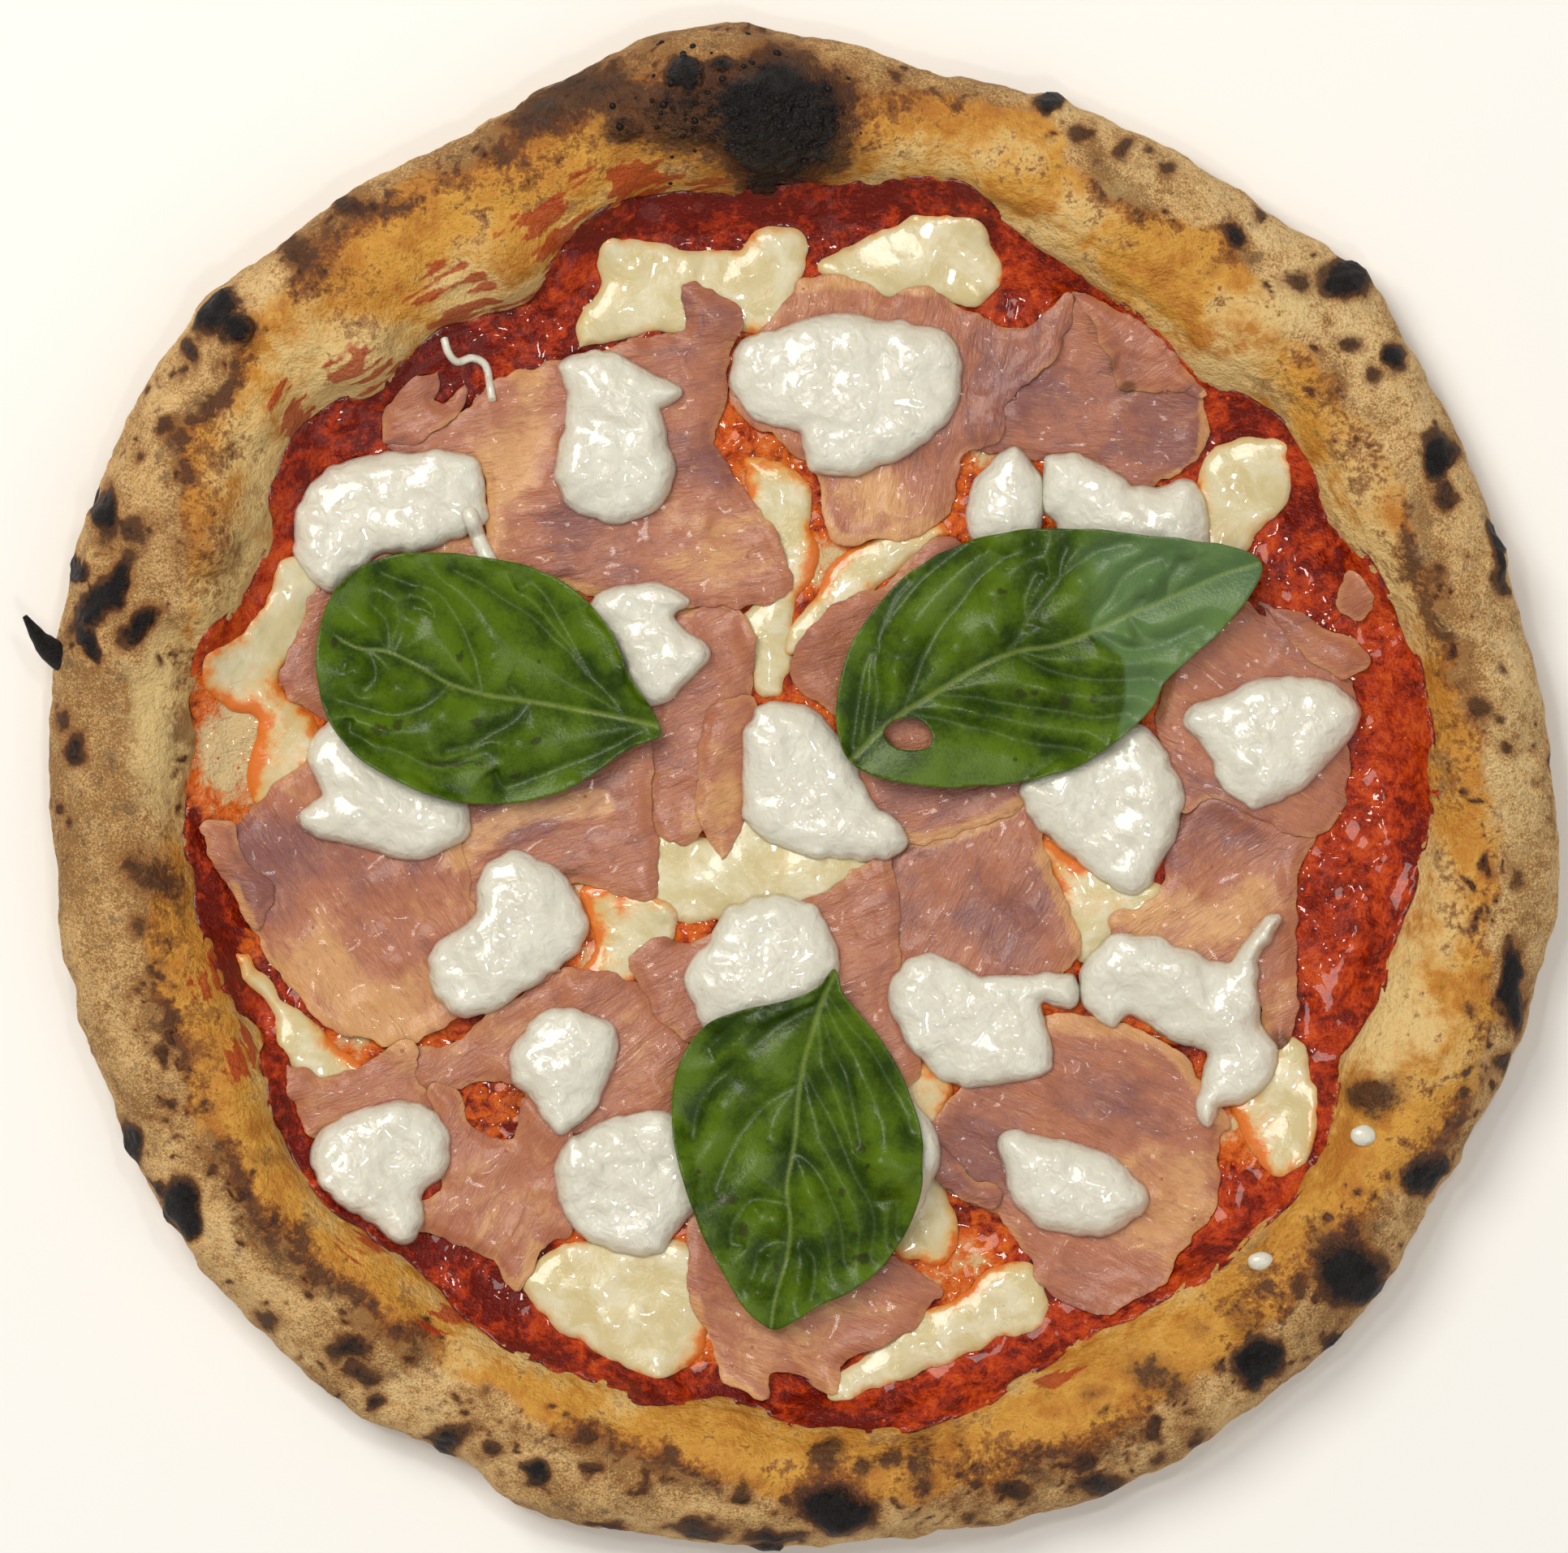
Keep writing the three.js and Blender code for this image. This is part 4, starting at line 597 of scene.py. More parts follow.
def edge_loops(triangles):
    """The open edges of triangles, chained into loops of corner numbers."""
    sides = np.vstack([triangles[:, [0, 1]], triangles[:, [1, 2]], triangles[:, [2, 0]]])
    taken = set(map(tuple, sides.tolist()))
    after = {}
    for a, b in sorted(taken):
        if (b, a) not in taken:
            after.setdefault(a, []).append(b)
    loops = []
    while after:
        here = next(iter(after))
        loop = []
        while here in after:
            loop.append(here)
            following = after[here].pop()
            if not after[here]:
                del after[here]
            here = following
        loops.append(np.array(loop))
    return loops


def facing_up(points, triangles):
    """Flat triangles with their corners counter-clockwise."""
    a, b, c = (points[triangles[:, k]] for k in range(3))
    area = (b - a)[:, 0] * (c - a)[:, 1] - (b - a)[:, 1] * (c - a)[:, 0]
    kept = triangles[np.abs(area) > 1e-14]
    turned = area[np.abs(area) > 1e-14] < 0
    kept[turned] = kept[turned][:, ::-1]
    return kept


def silhouette(node):
    """A node's outline from above, and its holes, in metres, the outline first."""
    LEAST_AREA = 2 * MM ** 2
    corners = node_triangles(node)
    normal = np.cross(corners[:, 1] - corners[:, 0], corners[:, 2] - corners[:, 0])
    steep = normal[:, 2] / np.maximum(np.linalg.norm(normal, axis=1), 1e-12)
    upper = corners[steep > 0.05][:, :, :2] / MM
    flat = [Vector(p) for p in upper.reshape(-1, 2)]
    faces = np.arange(len(flat)).reshape(-1, 3).tolist()
    found = delaunay_2d_cdt(flat, [], faces, 1, 0.002)
    points = np.array([tuple(p) for p in found[0]])
    covered = [face for face, sources in zip(found[2], found[5]) if sources]
    triangles = facing_up(points, np.array(covered))
    loops = [points[loop] * MM for loop in edge_loops(triangles)]
    loops = [loop for loop in loops if abs(signed_area(loop)) > LEAST_AREA]
    return sorted(loops, key=lambda loop: -abs(signed_area(loop)))


def flat_mesh(loops, spacing, seed):
    """The area inside loops as points and triangles, in rows about the spacing apart."""
    draw = np.random.default_rng(seed)
    low, high = loops[0].min(0), loops[0].max(0)
    rows = np.arange(low[1], high[1], 0.87 * spacing)
    columns = np.arange(low[0], high[0] + spacing, spacing)
    x, y = np.meshgrid(columns, rows)
    x[1::2] += 0.5 * spacing
    inner = np.column_stack([x.ravel(), y.ravel()])
    inner += draw.uniform(-0.12, 0.12, inner.shape) * spacing
    inner = inner[depth_inside(inner, loops) > 0.55 * spacing]
    points = np.vstack([*loops, inner])
    sides = []
    start = 0
    for loop in loops:
        index = start + np.arange(len(loop))
        sides += np.column_stack([index, np.roll(index, -1)]).tolist()
        start += len(loop)
    found = delaunay_2d_cdt([Vector(p / MM) for p in points], sides, [], 2, 1e-5)
    points = np.array([tuple(p) for p in found[0]]) * MM
    triangles = facing_up(points, np.array(found[2]))
    for hole in loops[1:]:
        triangles = triangles[~is_inside(points[triangles].mean(1), hole)]
    return points, triangles


def slab(points, triangles, bottom, top, bulge):
    """A sheet with the flat mesh's plan and a rounded edge: vertices, triangles, and for each vertex
    the number of the plan point that it came from."""
    count = len(points)
    source = [np.arange(count), np.arange(count)]
    vertices = [np.column_stack([points, top]), np.column_stack([points, bottom])]
    faces = [triangles, triangles[:, ::-1] + count]
    start = 2 * count
    for loop in edge_loops(triangles):
        middle = points[loop] + outward(points[loop]) * bulge
        vertices.append(np.column_stack([middle, (top[loop] + bottom[loop]) / 2]))
        source.append(loop)
        ring = start + np.arange(len(loop))
        after = np.roll(ring, -1)
        above, above_after = loop, np.roll(loop, -1)
        below, below_after = above + count, above_after + count
        for upper, upper_after, lower, lower_after in (
                (above, above_after, ring, after), (ring, after, below, below_after)):
            faces.append(np.column_stack([upper, lower, lower_after]))
            faces.append(np.column_stack([upper, lower_after, upper_after]))
        start += len(loop)
    return np.vstack(vertices), np.vstack(faces), np.concatenate(source)


# ---------------------------------------------------------------- the surface that toppings lie on
def blur(values, reach):
    """A mean over a square of 2 * reach + 1 cells, by running sums."""
    for axis in (0, 1):
        pad = [(reach + 1, reach) if k == axis else (0, 0) for k in (0, 1)]
        sums = np.cumsum(np.pad(values, pad, mode="edge"), axis=axis)
        width = 2 * reach + 1
        size = values.shape[axis]
        values = (np.take(sums, range(width, width + size), axis) - np.take(sums, range(size), axis)) / width
    return values


class Surface:
    """The height of the uppermost surface so far, on a square grid over the pizza."""
    CELL = 0.6 * MM
    HALF = 150 * MM

    def __init__(self, crust):
        """The grid starts with the rim and the floor, seen from above."""
        depsgraph = bpy.context.evaluated_depsgraph_get()
        tree = BVHTree.FromObject(crust, depsgraph)
        coarse = np.arange(-self.HALF, self.HALF + 2 * MM, 2 * MM)
        down = Vector((0, 0, -1))
        heights = np.zeros((len(coarse), len(coarse)))
        for row, y in enumerate(coarse):
            for column, x in enumerate(coarse):
                hit = tree.ray_cast(Vector((x, y, 0.1)), down)[0]
                heights[row, column] = hit.z if hit else 0
        self.axis = np.arange(-self.HALF, self.HALF, self.CELL)
        across = np.array([np.interp(self.axis, coarse, line) for line in heights])
        self.heights = np.array([np.interp(self.axis, coarse, line) for line in across.T]).T
        self.owner = np.full(self.heights.shape, "", dtype="<U13")

    def height_at(self, points):
        whole = (slice(0, len(self.axis)),) * 2
        return self.sample(self.heights, whole, points)

    def skin(self, kind):
        """The cells where this kind of topping is uppermost, as vertices and triangles."""
        SHRINK = 2
        own = (self.owner == kind).astype(float)
        own = blur(own, SHRINK) > 0.999
        squares = own[:-1, :-1] & own[1:, :-1] & own[:-1, 1:] & own[1:, 1:]
        row, column = np.nonzero(squares)
        size = len(self.axis)
        corner = row * size + column
        faces = np.vstack([np.column_stack([corner, corner + 1, corner + size + 1]),
                           np.column_stack([corner, corner + size + 1, corner + size])])
        used, faces = np.unique(faces, return_inverse=True)
        x, y = self.axis[used % size], self.axis[used // size]
        return np.column_stack([x, y, self.heights.ravel()[used]]), faces.reshape(-1, 3)

    def window(self, loop):
        """The part of the grid round a loop: its slices and the plan positions of its cells."""
        margin = 3 * self.CELL
        low = np.searchsorted(self.axis, loop.min(0) - margin)
        high = np.searchsorted(self.axis, loop.max(0) + margin)
        rows, columns = slice(low[1], high[1]), slice(low[0], high[0])
        x, y = np.meshgrid(self.axis[columns], self.axis[rows])
        return (rows, columns), np.column_stack([x.ravel(), y.ravel()])

    def sample(self, values, window, points):
        """Values of a window's cells, between the cells, at plan points."""
        rows, columns = window
        x = (points[:, 0] - self.axis[columns.start]) / self.CELL
        y = (points[:, 1] - self.axis[rows.start]) / self.CELL
        column = np.clip(x.astype(int), 0, values.shape[1] - 2)
        row = np.clip(y.astype(int), 0, values.shape[0] - 2)
        x, y = x - column, y - row
        lower = values[row, column] * (1 - x) + values[row, column + 1] * x
        upper = values[row + 1, column] * (1 - x) + values[row + 1, column + 1] * x
        return lower * (1 - y) + upper * y

    def drape(self, window, mask, stiffness, rounds=14):
        """A sheet lowered onto the window: it lies on the high spots and spans the dips."""
        floor = self.heights[window]
        reach = max(1, round(stiffness / self.CELL))
        share = blur(mask.astype(float), reach) + 1e-9
        sheet = floor.copy()
        for _ in range(rounds):
            spread = blur(sheet * mask, reach) / share
            sheet = np.where(mask, np.maximum(floor, spread), floor)
        return sheet

    def spread(self, values, mask, rounds=4):
        """Values carried a few cells past a mask's edge."""
        known = mask.copy()
        values = np.where(known, values, 0)
        for _ in range(rounds):
            share = blur(known.astype(float), 1)
            carried = blur(values, 1) / np.maximum(share, 1e-9)
            grown = share > 1e-6
            values = np.where(known, values, np.where(grown, carried, 0))
            known = known | grown
        return values

    def lay(self, kind, loops, thickness, lift=None, *, spacing, seed, stiffness, gap=0.05 * MM):
        """Lays a sheet with these outlines. thickness and lift are functions of plan points and their
        depth inside the outline. Returns the flat mesh with its bottom and top heights and depths."""
        window, cells = self.window(loops[0])
        shape = self.heights[window].shape
        depth = depth_inside(cells, loops)
        mask = (depth > -0.5 * self.CELL).reshape(shape)
        depth = np.maximum(depth, 0)
        bottom = self.drape(window, mask, stiffness) + gap
        if lift:
            bottom = bottom + lift(cells, depth).reshape(shape)
        top = bottom + thickness(cells, depth).reshape(shape)
        points, triangles = flat_mesh(loops, spacing, seed)
        inward = np.maximum(depth_inside(points, loops), 0)
        low = self.sample(self.spread(bottom, mask), window, points)
        high = low + thickness(points, inward)
        risen = mask & (top > self.heights[window])
        self.heights[window] = np.where(risen, top, self.heights[window])
        self.owner[window] = np.where(risen, kind, self.owner[window])
        return points, triangles, low, high, inward


def refine(loop, spacing, wobble, seed):
    """A counter-clockwise loop made smooth and fine, then pushed in and out by (height, length) pairs."""
    if signed_area(loop) < 0:
        loop = loop[::-1]
    curve = smooth_curve(loop, spacing)
    push = np.zeros(len(curve))
    for k, (height, length) in enumerate(wobble):
        push += height * noise(curve, length, seed + k)
    return curve + outward(curve) * push[:, None]


# ---------------------------------------------------------------- shader maths
def add_node(tree, kind, settings=None, inputs=None):
    """Adds a node to a tree: its settings are set first, then the values or links of its sockets."""
    node = tree.nodes.new(kind)
    for key, setting in (settings or {}).items():
        setattr(node, key, setting)
    for key, source in (inputs or {}).items():
        if isinstance(source, bpy.types.NodeSocket):
            tree.links.new(source, node.inputs[key])
        else:
            node.inputs[key].default_value = source
    return node


class Value:
    """A number that varies over a surface. Sums and products of values add Math nodes."""

    def __init__(self, shader, socket):
        self.shader = shader
        self.socket = socket

    def math(self, operation, *terms):
        node = self.shader.node("ShaderNodeMath", {"operation": operation}, dict(enumerate(terms)))
        return Value(self.shader, node.outputs[0])

    def __add__(self, other):
        return self.math("ADD", self, other)

    __radd__ = __add__

    def __sub__(self, other):
        return self.math("SUBTRACT", self, other)

    def __rsub__(self, other):
        return self.math("SUBTRACT", other, self)

    def __mul__(self, other):
        return self.math("MULTIPLY", self, other)

    def between(self, low, high):
        """0 below low, 1 above high, and smooth between."""
        settings = {"interpolation_type": "SMOOTHSTEP"}
        inputs = {"Value": self, "From Min": low, "From Max": high}
        node = self.shader.node("ShaderNodeMapRange", settings, inputs)
        return Value(self.shader, node.outputs["Result"])


class Shader:
    """One material and its nodes."""

    def __init__(self, name):
        self.material = bpy.data.materials.new(name)
        self.material.use_nodes = True
        self.tree = self.material.node_tree
        self.tree.nodes.clear()
        self.place = self.node("ShaderNodeTexCoord").outputs["Object"]

    def node(self, kind, settings=None, inputs=None):
        plain = {key: value.socket if isinstance(value, Value) else value
                 for key, value in (inputs or {}).items()}
        return add_node(self.tree, kind, settings, plain)

    def attribute(self, name):
        return Value(self, self.node("ShaderNodeAttribute", {"attribute_name": name}).outputs["Fac"])

    def noise(self, size, detail, roughness, distortion=0.0, at=None):
        inputs = {"Vector": at or self.place, "Scale": 1 / size, "Detail": detail,
                  "Roughness": roughness, "Distortion": distortion}
        return Value(self, self.node("ShaderNodeTexNoise", None, inputs).outputs["Fac"])

    def cells(self, size):
        inputs = {"Vector": self.place, "Scale": 1 / size}
        return Value(self, self.node("ShaderNodeTexVoronoi", None, inputs).outputs["Distance"])

    def stretched(self, source, scale):
        """Coordinates scaled by three factors, for a pattern that runs along one direction."""
        inputs = {"Vector": source, "Scale": scale}
        return self.node("ShaderNodeMapping", None, inputs).outputs["Vector"]

    def mix(self, low, high, factor):
        """A colour between two, by a value."""
        FACTOR, LOW, HIGH, RESULT = 0, 6, 7, 2  # the Mix node's sockets for a colour
        inputs = {LOW: low, HIGH: high, FACTOR: factor}
        for key in (LOW, HIGH):
            if not isinstance(inputs[key], bpy.types.NodeSocket):
                inputs[key] = (*inputs[key], 1)
        settings = {"data_type": "RGBA", "clamp_factor": True}
        return self.node("ShaderNodeMix", settings, inputs).outputs[RESULT]

    def bump(self, height, distance):
        inputs = {"Height": height, "Distance": distance, "Strength": 1.0}
        return self.node("ShaderNodeBump", None, inputs).outputs["Normal"]

    def finish(self, **sockets):
        """Sets the surface. Underscores in a name stand for the spaces of the socket's name."""
        inputs = {key.replace("_", " "): value for key, value in sockets.items()}
        surface = self.node("ShaderNodeBsdfPrincipled", {"subsurface_method": "BURLEY"}, inputs)
        output = self.node("ShaderNodeOutputMaterial")
        self.tree.links.new(surface.outputs[0], output.inputs["Surface"])
        return self.material


def crust_material(settings):
    shader = Shader("baked_crust")
    grit = shader.noise(0.45 * MM, 2, 0.75)
    grain = shader.noise(1.2 * MM, 3, 0.65)
    mottle = shader.noise(3.4 * MM, 4, 0.62, 0.4)
    patch = shader.noise(12 * MM, 3, 0.6)
    tan, pale = shader.attribute("tan"), shader.attribute("pale")
    # The floured side: tan and flour in patches, with a fine dark grain. The tan attribute is browning and,
    # on the outer left side, painted shade; the pale attribute is pale dough and, on the inner left wall and
    # the outer right side, painted light.
    spread = grit * 0.42 + grain * 0.23 + mottle * 0.25 + patch * 0.3 - tan * 0.1
    dusty = shader.mix(settings.grit, settings.dusty, spread.between(0.48, 0.64))
    dusty = shader.mix(dusty, settings.flour, (spread + pale * 0.1).between(0.6, 0.76) * 0.9)
    dusty = shader.mix(dusty, settings.crumb, (pale + (mottle - 0.5) * 0.8).between(0.3, 1.0) * 0.88)
    toasted = (mottle * 0.8 + grain * 0.4 + tan * 0.12).between(0.66, 0.8)
    dusty = shader.mix(dusty, settings.toast, toasted * 0.65 * (1 - pale.between(0, 1) * 0.8))
    # The golden side: brown freckles in patches, and pale dough towards the foot of the wall.
    brown = (mottle * 0.5 + grain * 0.35 + grit * 0.15 + tan * 0.25 + (patch - 0.5) * 0.5)
    gold = shader.mix(settings.amber, settings.golden, (patch * 0.6 + mottle * 0.4).between(0.36, 0.56))
    wall = shader.attribute("wall")
    dough = (wall * 0.5 + pale * 0.75 + (patch - 0.5) * 2.0 + (mottle - 0.5) * 0.9).between(0.15, 0.8)
    gold = shader.mix(gold, settings.crumb, dough * 0.88)
    gold = shader.mix(gold, settings.baked, brown.between(0.55, 0.65) * (1 - wall * 0.8) * 0.85)
    gold = shader.mix(gold, settings.toast, brown.between(0.65, 0.74) * (1 - wall) * 0.85)
    side = (shader.attribute("golden") + (mottle - 0.5) * 1.2 + (patch - 0.5) * 0.6).between(0.3, 0.7)
    base = shader.mix(dusty, gold, side)
    smear = (shader.attribute("smear") + (mottle - 0.5) * 1.2 + (grain - 0.5) * 0.9).between(0.25, 0.75)
    base = shader.mix(base, settings.smear, smear * 0.8)
    # Burnt places: a faint scorch, then brown with a crisp edge, then black.
    char = shader.attribute("char") + (mottle - 0.5) * 0.45 + (grain - 0.5) * 0.4
    base = shader.mix(base, settings.baked, char.between(0.05, 0.4) * 0.5)
    base = shader.mix(base, settings.toast, char.between(0.3, 0.55) * 0.88)
    base = shader.mix(base, settings.char, char.between(0.58, 0.86))
    crumbly = shader.attribute("char").between(0.5, 0.8)
    blebs = shader.noise(1.9 * MM, 0, 0.5)
    grit_share = 0.5 - shader.attribute("golden") * 0.35
    height = grit * grit_share + grain * 1.1 + crumbly * (grain + blebs * 1.4)
    return shader.finish(
        Base_Color=base, Roughness=0.8 - side * 0.34 - crumbly * 0.24, Normal=shader.bump(height, 0.85 * MM),
        Specular_IOR_Level=0.3)


def sauce_material(settings):
    shader = Shader("tomato_sauce")
    pool = shader.noise(9 * MM, 2, 0.5)
    pulp = shader.noise(3.6 * MM, 3, 0.65, 0.8)
    clump = shader.noise(1.7 * MM, 3, 0.65)
    fine = shader.noise(0.6 * MM, 1, 0.6)
    # Darker where the painted attribute for thick sauce and shade is high: thick sauce, and painted shade
    # along the rim's inner wall.
    share = pulp * 0.55 + clump * 0.45 + (pool - 0.5) * 0.6 - shader.attribute("thick") * 0.14
    base = shader.mix(settings.sauce_dark, settings.sauce, share.between(0.34, 0.56))
    base = shader.mix(base, settings.sauce_bright, share.between(0.5, 0.66) * 0.75)
    oil = shader.attribute("oil") + (pulp - 0.5) * 1.1 + (pool - 0.5) * 0.7
    base = shader.mix(base, settings.sauce_oil, oil.between(0.35, 0.75) * 0.85)
    base = shader.mix(base, settings.mozzarella, oil.between(0.7, 1.05) * 0.85)
    height = pulp * 0.6 + clump * 0.8 + fine * 0.3
    return shader.finish(
        Base_Color=base, Roughness=0.1 + pool * 0.2, Normal=shader.bump(height, 1.1 * MM),
        Specular_IOR_Level=0.15, Coat_Weight=0.35, Coat_Roughness=0.03)


def mozzarella_material(settings):
    shader = Shader("melted_mozzarella")
    patch = shader.noise(9 * MM, 3, 0.6, 0.5)
    mottle = shader.noise(3 * MM, 3, 0.6)
    fine = shader.noise(1.1 * MM, 2, 0.6)
    oil = shader.attribute("oil") + (patch - 0.5) * 1.2 + (mottle - 0.5) * 0.6
    base = shader.mix(settings.mozzarella, settings.mozzarella_white, patch.between(0.4, 0.65))
    rim = (1 - shader.attribute("depth")) * 0.75 + oil * 0.7
    base = shader.mix(base, settings.mozzarella_tint, (rim + (mottle - 0.5) * 0.5).between(0.4, 1.05) * 0.75)
    base = shader.mix(base, settings.sauce_oil, (rim + (mottle - 0.5) * 0.9).between(0.8, 1.2) * 0.85)
    height = patch * 0.35 + mottle * 0.16 + fine * 0.12
    return shader.finish(
        Base_Color=base, Roughness=0.14 + patch * 0.2, Normal=shader.bump(height, 0.9 * MM),
        Specular_IOR_Level=0.4, Coat_Weight=0.5, Coat_Roughness=0.04, Subsurface_Weight=0.25,
        Subsurface_Radius=(1.0, 0.7, 0.35), Subsurface_Scale=2.0 * MM)


def ham_material(settings):
    shader = Shader("cooked_ham")
    along = shader.node("ShaderNodeUVMap", {"uv_map": "grain"}).outputs["UV"]
    fibre = shader.noise(6 * MM, 3, 0.62, 0.7, shader.stretched(along, (1.0, 4.5, 1.0)))
    strand = shader.noise(2.2 * MM, 3, 0.65, 0, shader.stretched(along, (0.7, 4.0, 1.0)))
    patch = shader.noise(15 * MM, 2, 0.55, 0, shader.stretched(along, (0.7, 1.3, 1.0)))
    cloud = shader.noise(5 * MM, 4, 0.65, 0.8, shader.stretched(along, (0.8, 1.4, 1.0)))
    fine = shader.noise(0.7 * MM, 1, 0.5)
    tone = shader.attribute("tone") + (patch - 0.5) * 2.2 + (cloud - 0.5) * 2.2 + (strand - 0.5) * 0.7
    base = shader.mix(settings.ham, settings.ham_dark, (tone * -1).between(0, 1.2) * 0.9)
    base = shader.mix(base, settings.ham_fat, tone.between(0.05, 1.2) * 0.85)
    base = shader.mix(base, settings.ham_dark, (fibre * 0.4 + strand * 0.6).between(0.52, 0.68) * 0.55)
    base = shader.mix(base, settings.ham_fat, (fibre * -0.4 - strand * 0.6).between(-0.46, -0.32) * 0.45)
    fat = (shader.attribute("fat") + (cloud - 0.5) * 1.6).between(0.35, 1.1)
    base = shader.mix(base, settings.ham_fat, fat * 0.7)
    base = shader.mix(base, settings.ham_fat, shader.attribute("edge") * patch.between(0.45, 0.6) * 0.45)
    crisp = (shader.attribute("crisp") + (cloud - 0.5) * 0.8).between(0.3, 1.1)
    base = shader.mix(base, (0.13, 0.04, 0.01), crisp * 0.85)
    height = cloud * 0.5 + fibre * 0.35 + strand * 0.22 + fine * 0.07
    return shader.finish(
        Base_Color=base, Roughness=0.24 + cloud * 0.2, Normal=shader.bump(height, 0.95 * MM),
        Specular_IOR_Level=0.45, Coat_Weight=0.12, Coat_Roughness=0.06, Subsurface_Weight=0.2,
        Subsurface_Radius=(1.0, 0.5, 0.35), Subsurface_Scale=1.2 * MM)


def cream_material(settings):
    shader = Shader("stracciatella")
    lump = shader.noise(5.5 * MM, 2, 0.5)
    curds = shader.cells(4.2 * MM)
    ripple = shader.noise(2.4 * MM, 1, 0.5, 0.8)
    fine = shader.noise(1.0 * MM, 2, 0.6)
    wet = shader.noise(9 * MM, 1, 0.5).between(0.42, 0.6)
    base = shader.mix((0.74, 0.72, 0.60), settings.cream, lump.between(0.3, 0.6))
    height = lump * 0.6 - curds * curds * 0.22 + ripple * 0.38 + fine * 0.1
    return shader.finish(
        Base_Color=base, Roughness=0.38 - wet * 0.15, Normal=shader.bump(height, 1.0 * MM),
        Specular_IOR_Level=0.5, Coat_Weight=0.9, Coat_Roughness=0.03, Subsurface_Weight=0.5,
        Subsurface_Radius=(1.0, 0.9, 0.75), Subsurface_Scale=2.0 * MM)


def leaf_material(settings):
    shader = Shader("basil_leaf")
    blotch = shader.noise(9 * MM, 3, 0.6)
    fine = shader.noise(0.8 * MM, 2, 0.65)
    vein = shader.attribute("vein")
    # The pillow share darkens the green towards the veins: painted shade in the creases.
    shade = blotch * 0.7 + fine * 0.2 + shader.attribute("pillow") * 0.11 - 0.02
    base = shader.mix(settings.leaf_dark, settings.leaf, shade.between(0.32, 0.64))
    base = shader.mix(base, settings.leaf_pale, shader.attribute("pale") * 0.55)
    base = shader.mix(base, settings.leaf_vein, vein * 0.4)
    speck = (shader.attribute("speck") + (fine - 0.5) * 1.1).between(0.45, 0.9)
    base = shader.mix(base, settings.leaf_speck, speck * 0.7)
    return shader.finish(
        Base_Color=base, Roughness=0.24 + blotch * 0.12, Normal=shader.bump(fine, 0.12 * MM),
        Specular_IOR_Level=0.26)


def plain_material(name, base, roughness):
    return Shader(name).finish(Base_Color=(*base, 1), Roughness=roughness, Specular_IOR_Level=0.2)


# ---------------------------------------------------------------- the crust
def crust_sections(stations, rays):
    """Radii and heights of the crust node's rim at even angles, from the underside's edge over the
    outside and the crest to the foot of the inner wall."""
    corners = node_triangles("crust")
    faces = np.arange(3 * len(corners)).reshape(-1, 3).tolist()
    tree = BVHTree.FromPolygons(corners.reshape(-1, 3).tolist(), faces)
    SUNK, CORE_HEIGHT, ABOVE_FLOOR = 9 * MM, 11 * MM, 5 * MM
    HOLLOW, BEYOND = 20 * MM, 250 * MM  # radii that are surely inside the hollow and past the rim
    sections = []
    for angle in np.arange(stations) / stations * 2 * math.pi:
        away = Vector((math.cos(angle), math.sin(angle), 0))
        inner = tree.ray_cast(away * HOLLOW + Vector((0, 0, ABOVE_FLOOR)), away)[3] + HOLLOW
        outer = BEYOND - tree.ray_cast(away * BEYOND + Vector((0, 0, CORE_HEIGHT)), -away)[3]
        core = Vector((0.5 * (inner + outer), CORE_HEIGHT))
        first = math.atan2(-core[1], outer - SUNK - core[0])
        last = math.pi + math.atan2(core[1] - ABOVE_FLOOR, core[0] - inner)
        section = []
        for turn in np.linspace(first, last, rays):
            way = away * math.cos(turn) + Vector((0, 0, math.sin(turn)))
            start = away * core[0] + Vector((0, 0, core[1]))
            reach = tree.ray_cast(start, way)[3]
            section.append((core[0] + reach * math.cos(turn), core[1] + reach * math.sin(turn)))
        sections.append(section)
    return np.array(sections)


def even_rows(section, rows):
    """A section's points moved to even steps along it."""
    travelled = np.concatenate([[0], np.cumsum(np.hypot(*np.diff(section, axis=0).T))])
    stops = np.linspace(0, travelled[-1], rows)
    return np.column_stack([np.interp(stops, travelled, column) for column in section.T])


def smooth_round(values, rounds):
    """Values smoothed along their first axis, which closes on itself."""
    for _ in range(rounds):
        values = 0.5 * values + 0.25 * (np.roll(values, 1, axis=0) + np.roll(values, -1, axis=0))
    return values


def smooth_along(values, rounds):
    """Values smoothed along their second axis, whose ends stay."""
    for _ in range(rounds):
        middle = 0.5 * values[:, 1:-1] + 0.25 * (values[:, 2:] + values[:, :-2])
        values = np.concatenate([values[:, :1], middle, values[:, -1:]], axis=1)
    return values


def freckles(clusters, seed):
    """Small brown spots in clusters: some along the golden line and the rest outside it."""
    OUTLINE_REACH = 935  # the rim's radius in pixels
    draw = np.random.default_rng(seed)
    line = np.array(GOLDEN_LINE, float) - PHOTO_CENTRE
    line_angle = np.arctan2(-line[:, 1], line[:, 0])
    line_reach = np.hypot(*line.T)
    order = np.argsort(line_angle)
    spots = []
    for _ in range(clusters):
        turn = draw.uniform(-math.pi, math.pi)
        crest = np.interp(turn, line_angle[order], line_reach[order], period=2 * math.pi)
        on_crest = draw.uniform() < 0.5
        out = draw.normal(0, 14) if on_crest else (OUTLINE_REACH - crest) * draw.uniform(0.15, 1.4)
        for _ in range(draw.integers(2, 9)):
            angle = turn + draw.normal(0, 0.028)
            reach = crest + out + draw.normal(0, 13)
            wide = draw.uniform(3.5, 8) * (1.7 if draw.uniform() < 0.15 else 1)
            place = PHOTO_CENTRE + (reach * math.cos(angle), -reach * math.sin(angle))
            spots.append((*place, wide, wide * draw.uniform(0.5, 0.9), math.degrees(angle) + 90,
                          draw.uniform(0.3, 0.66)))
    return spots


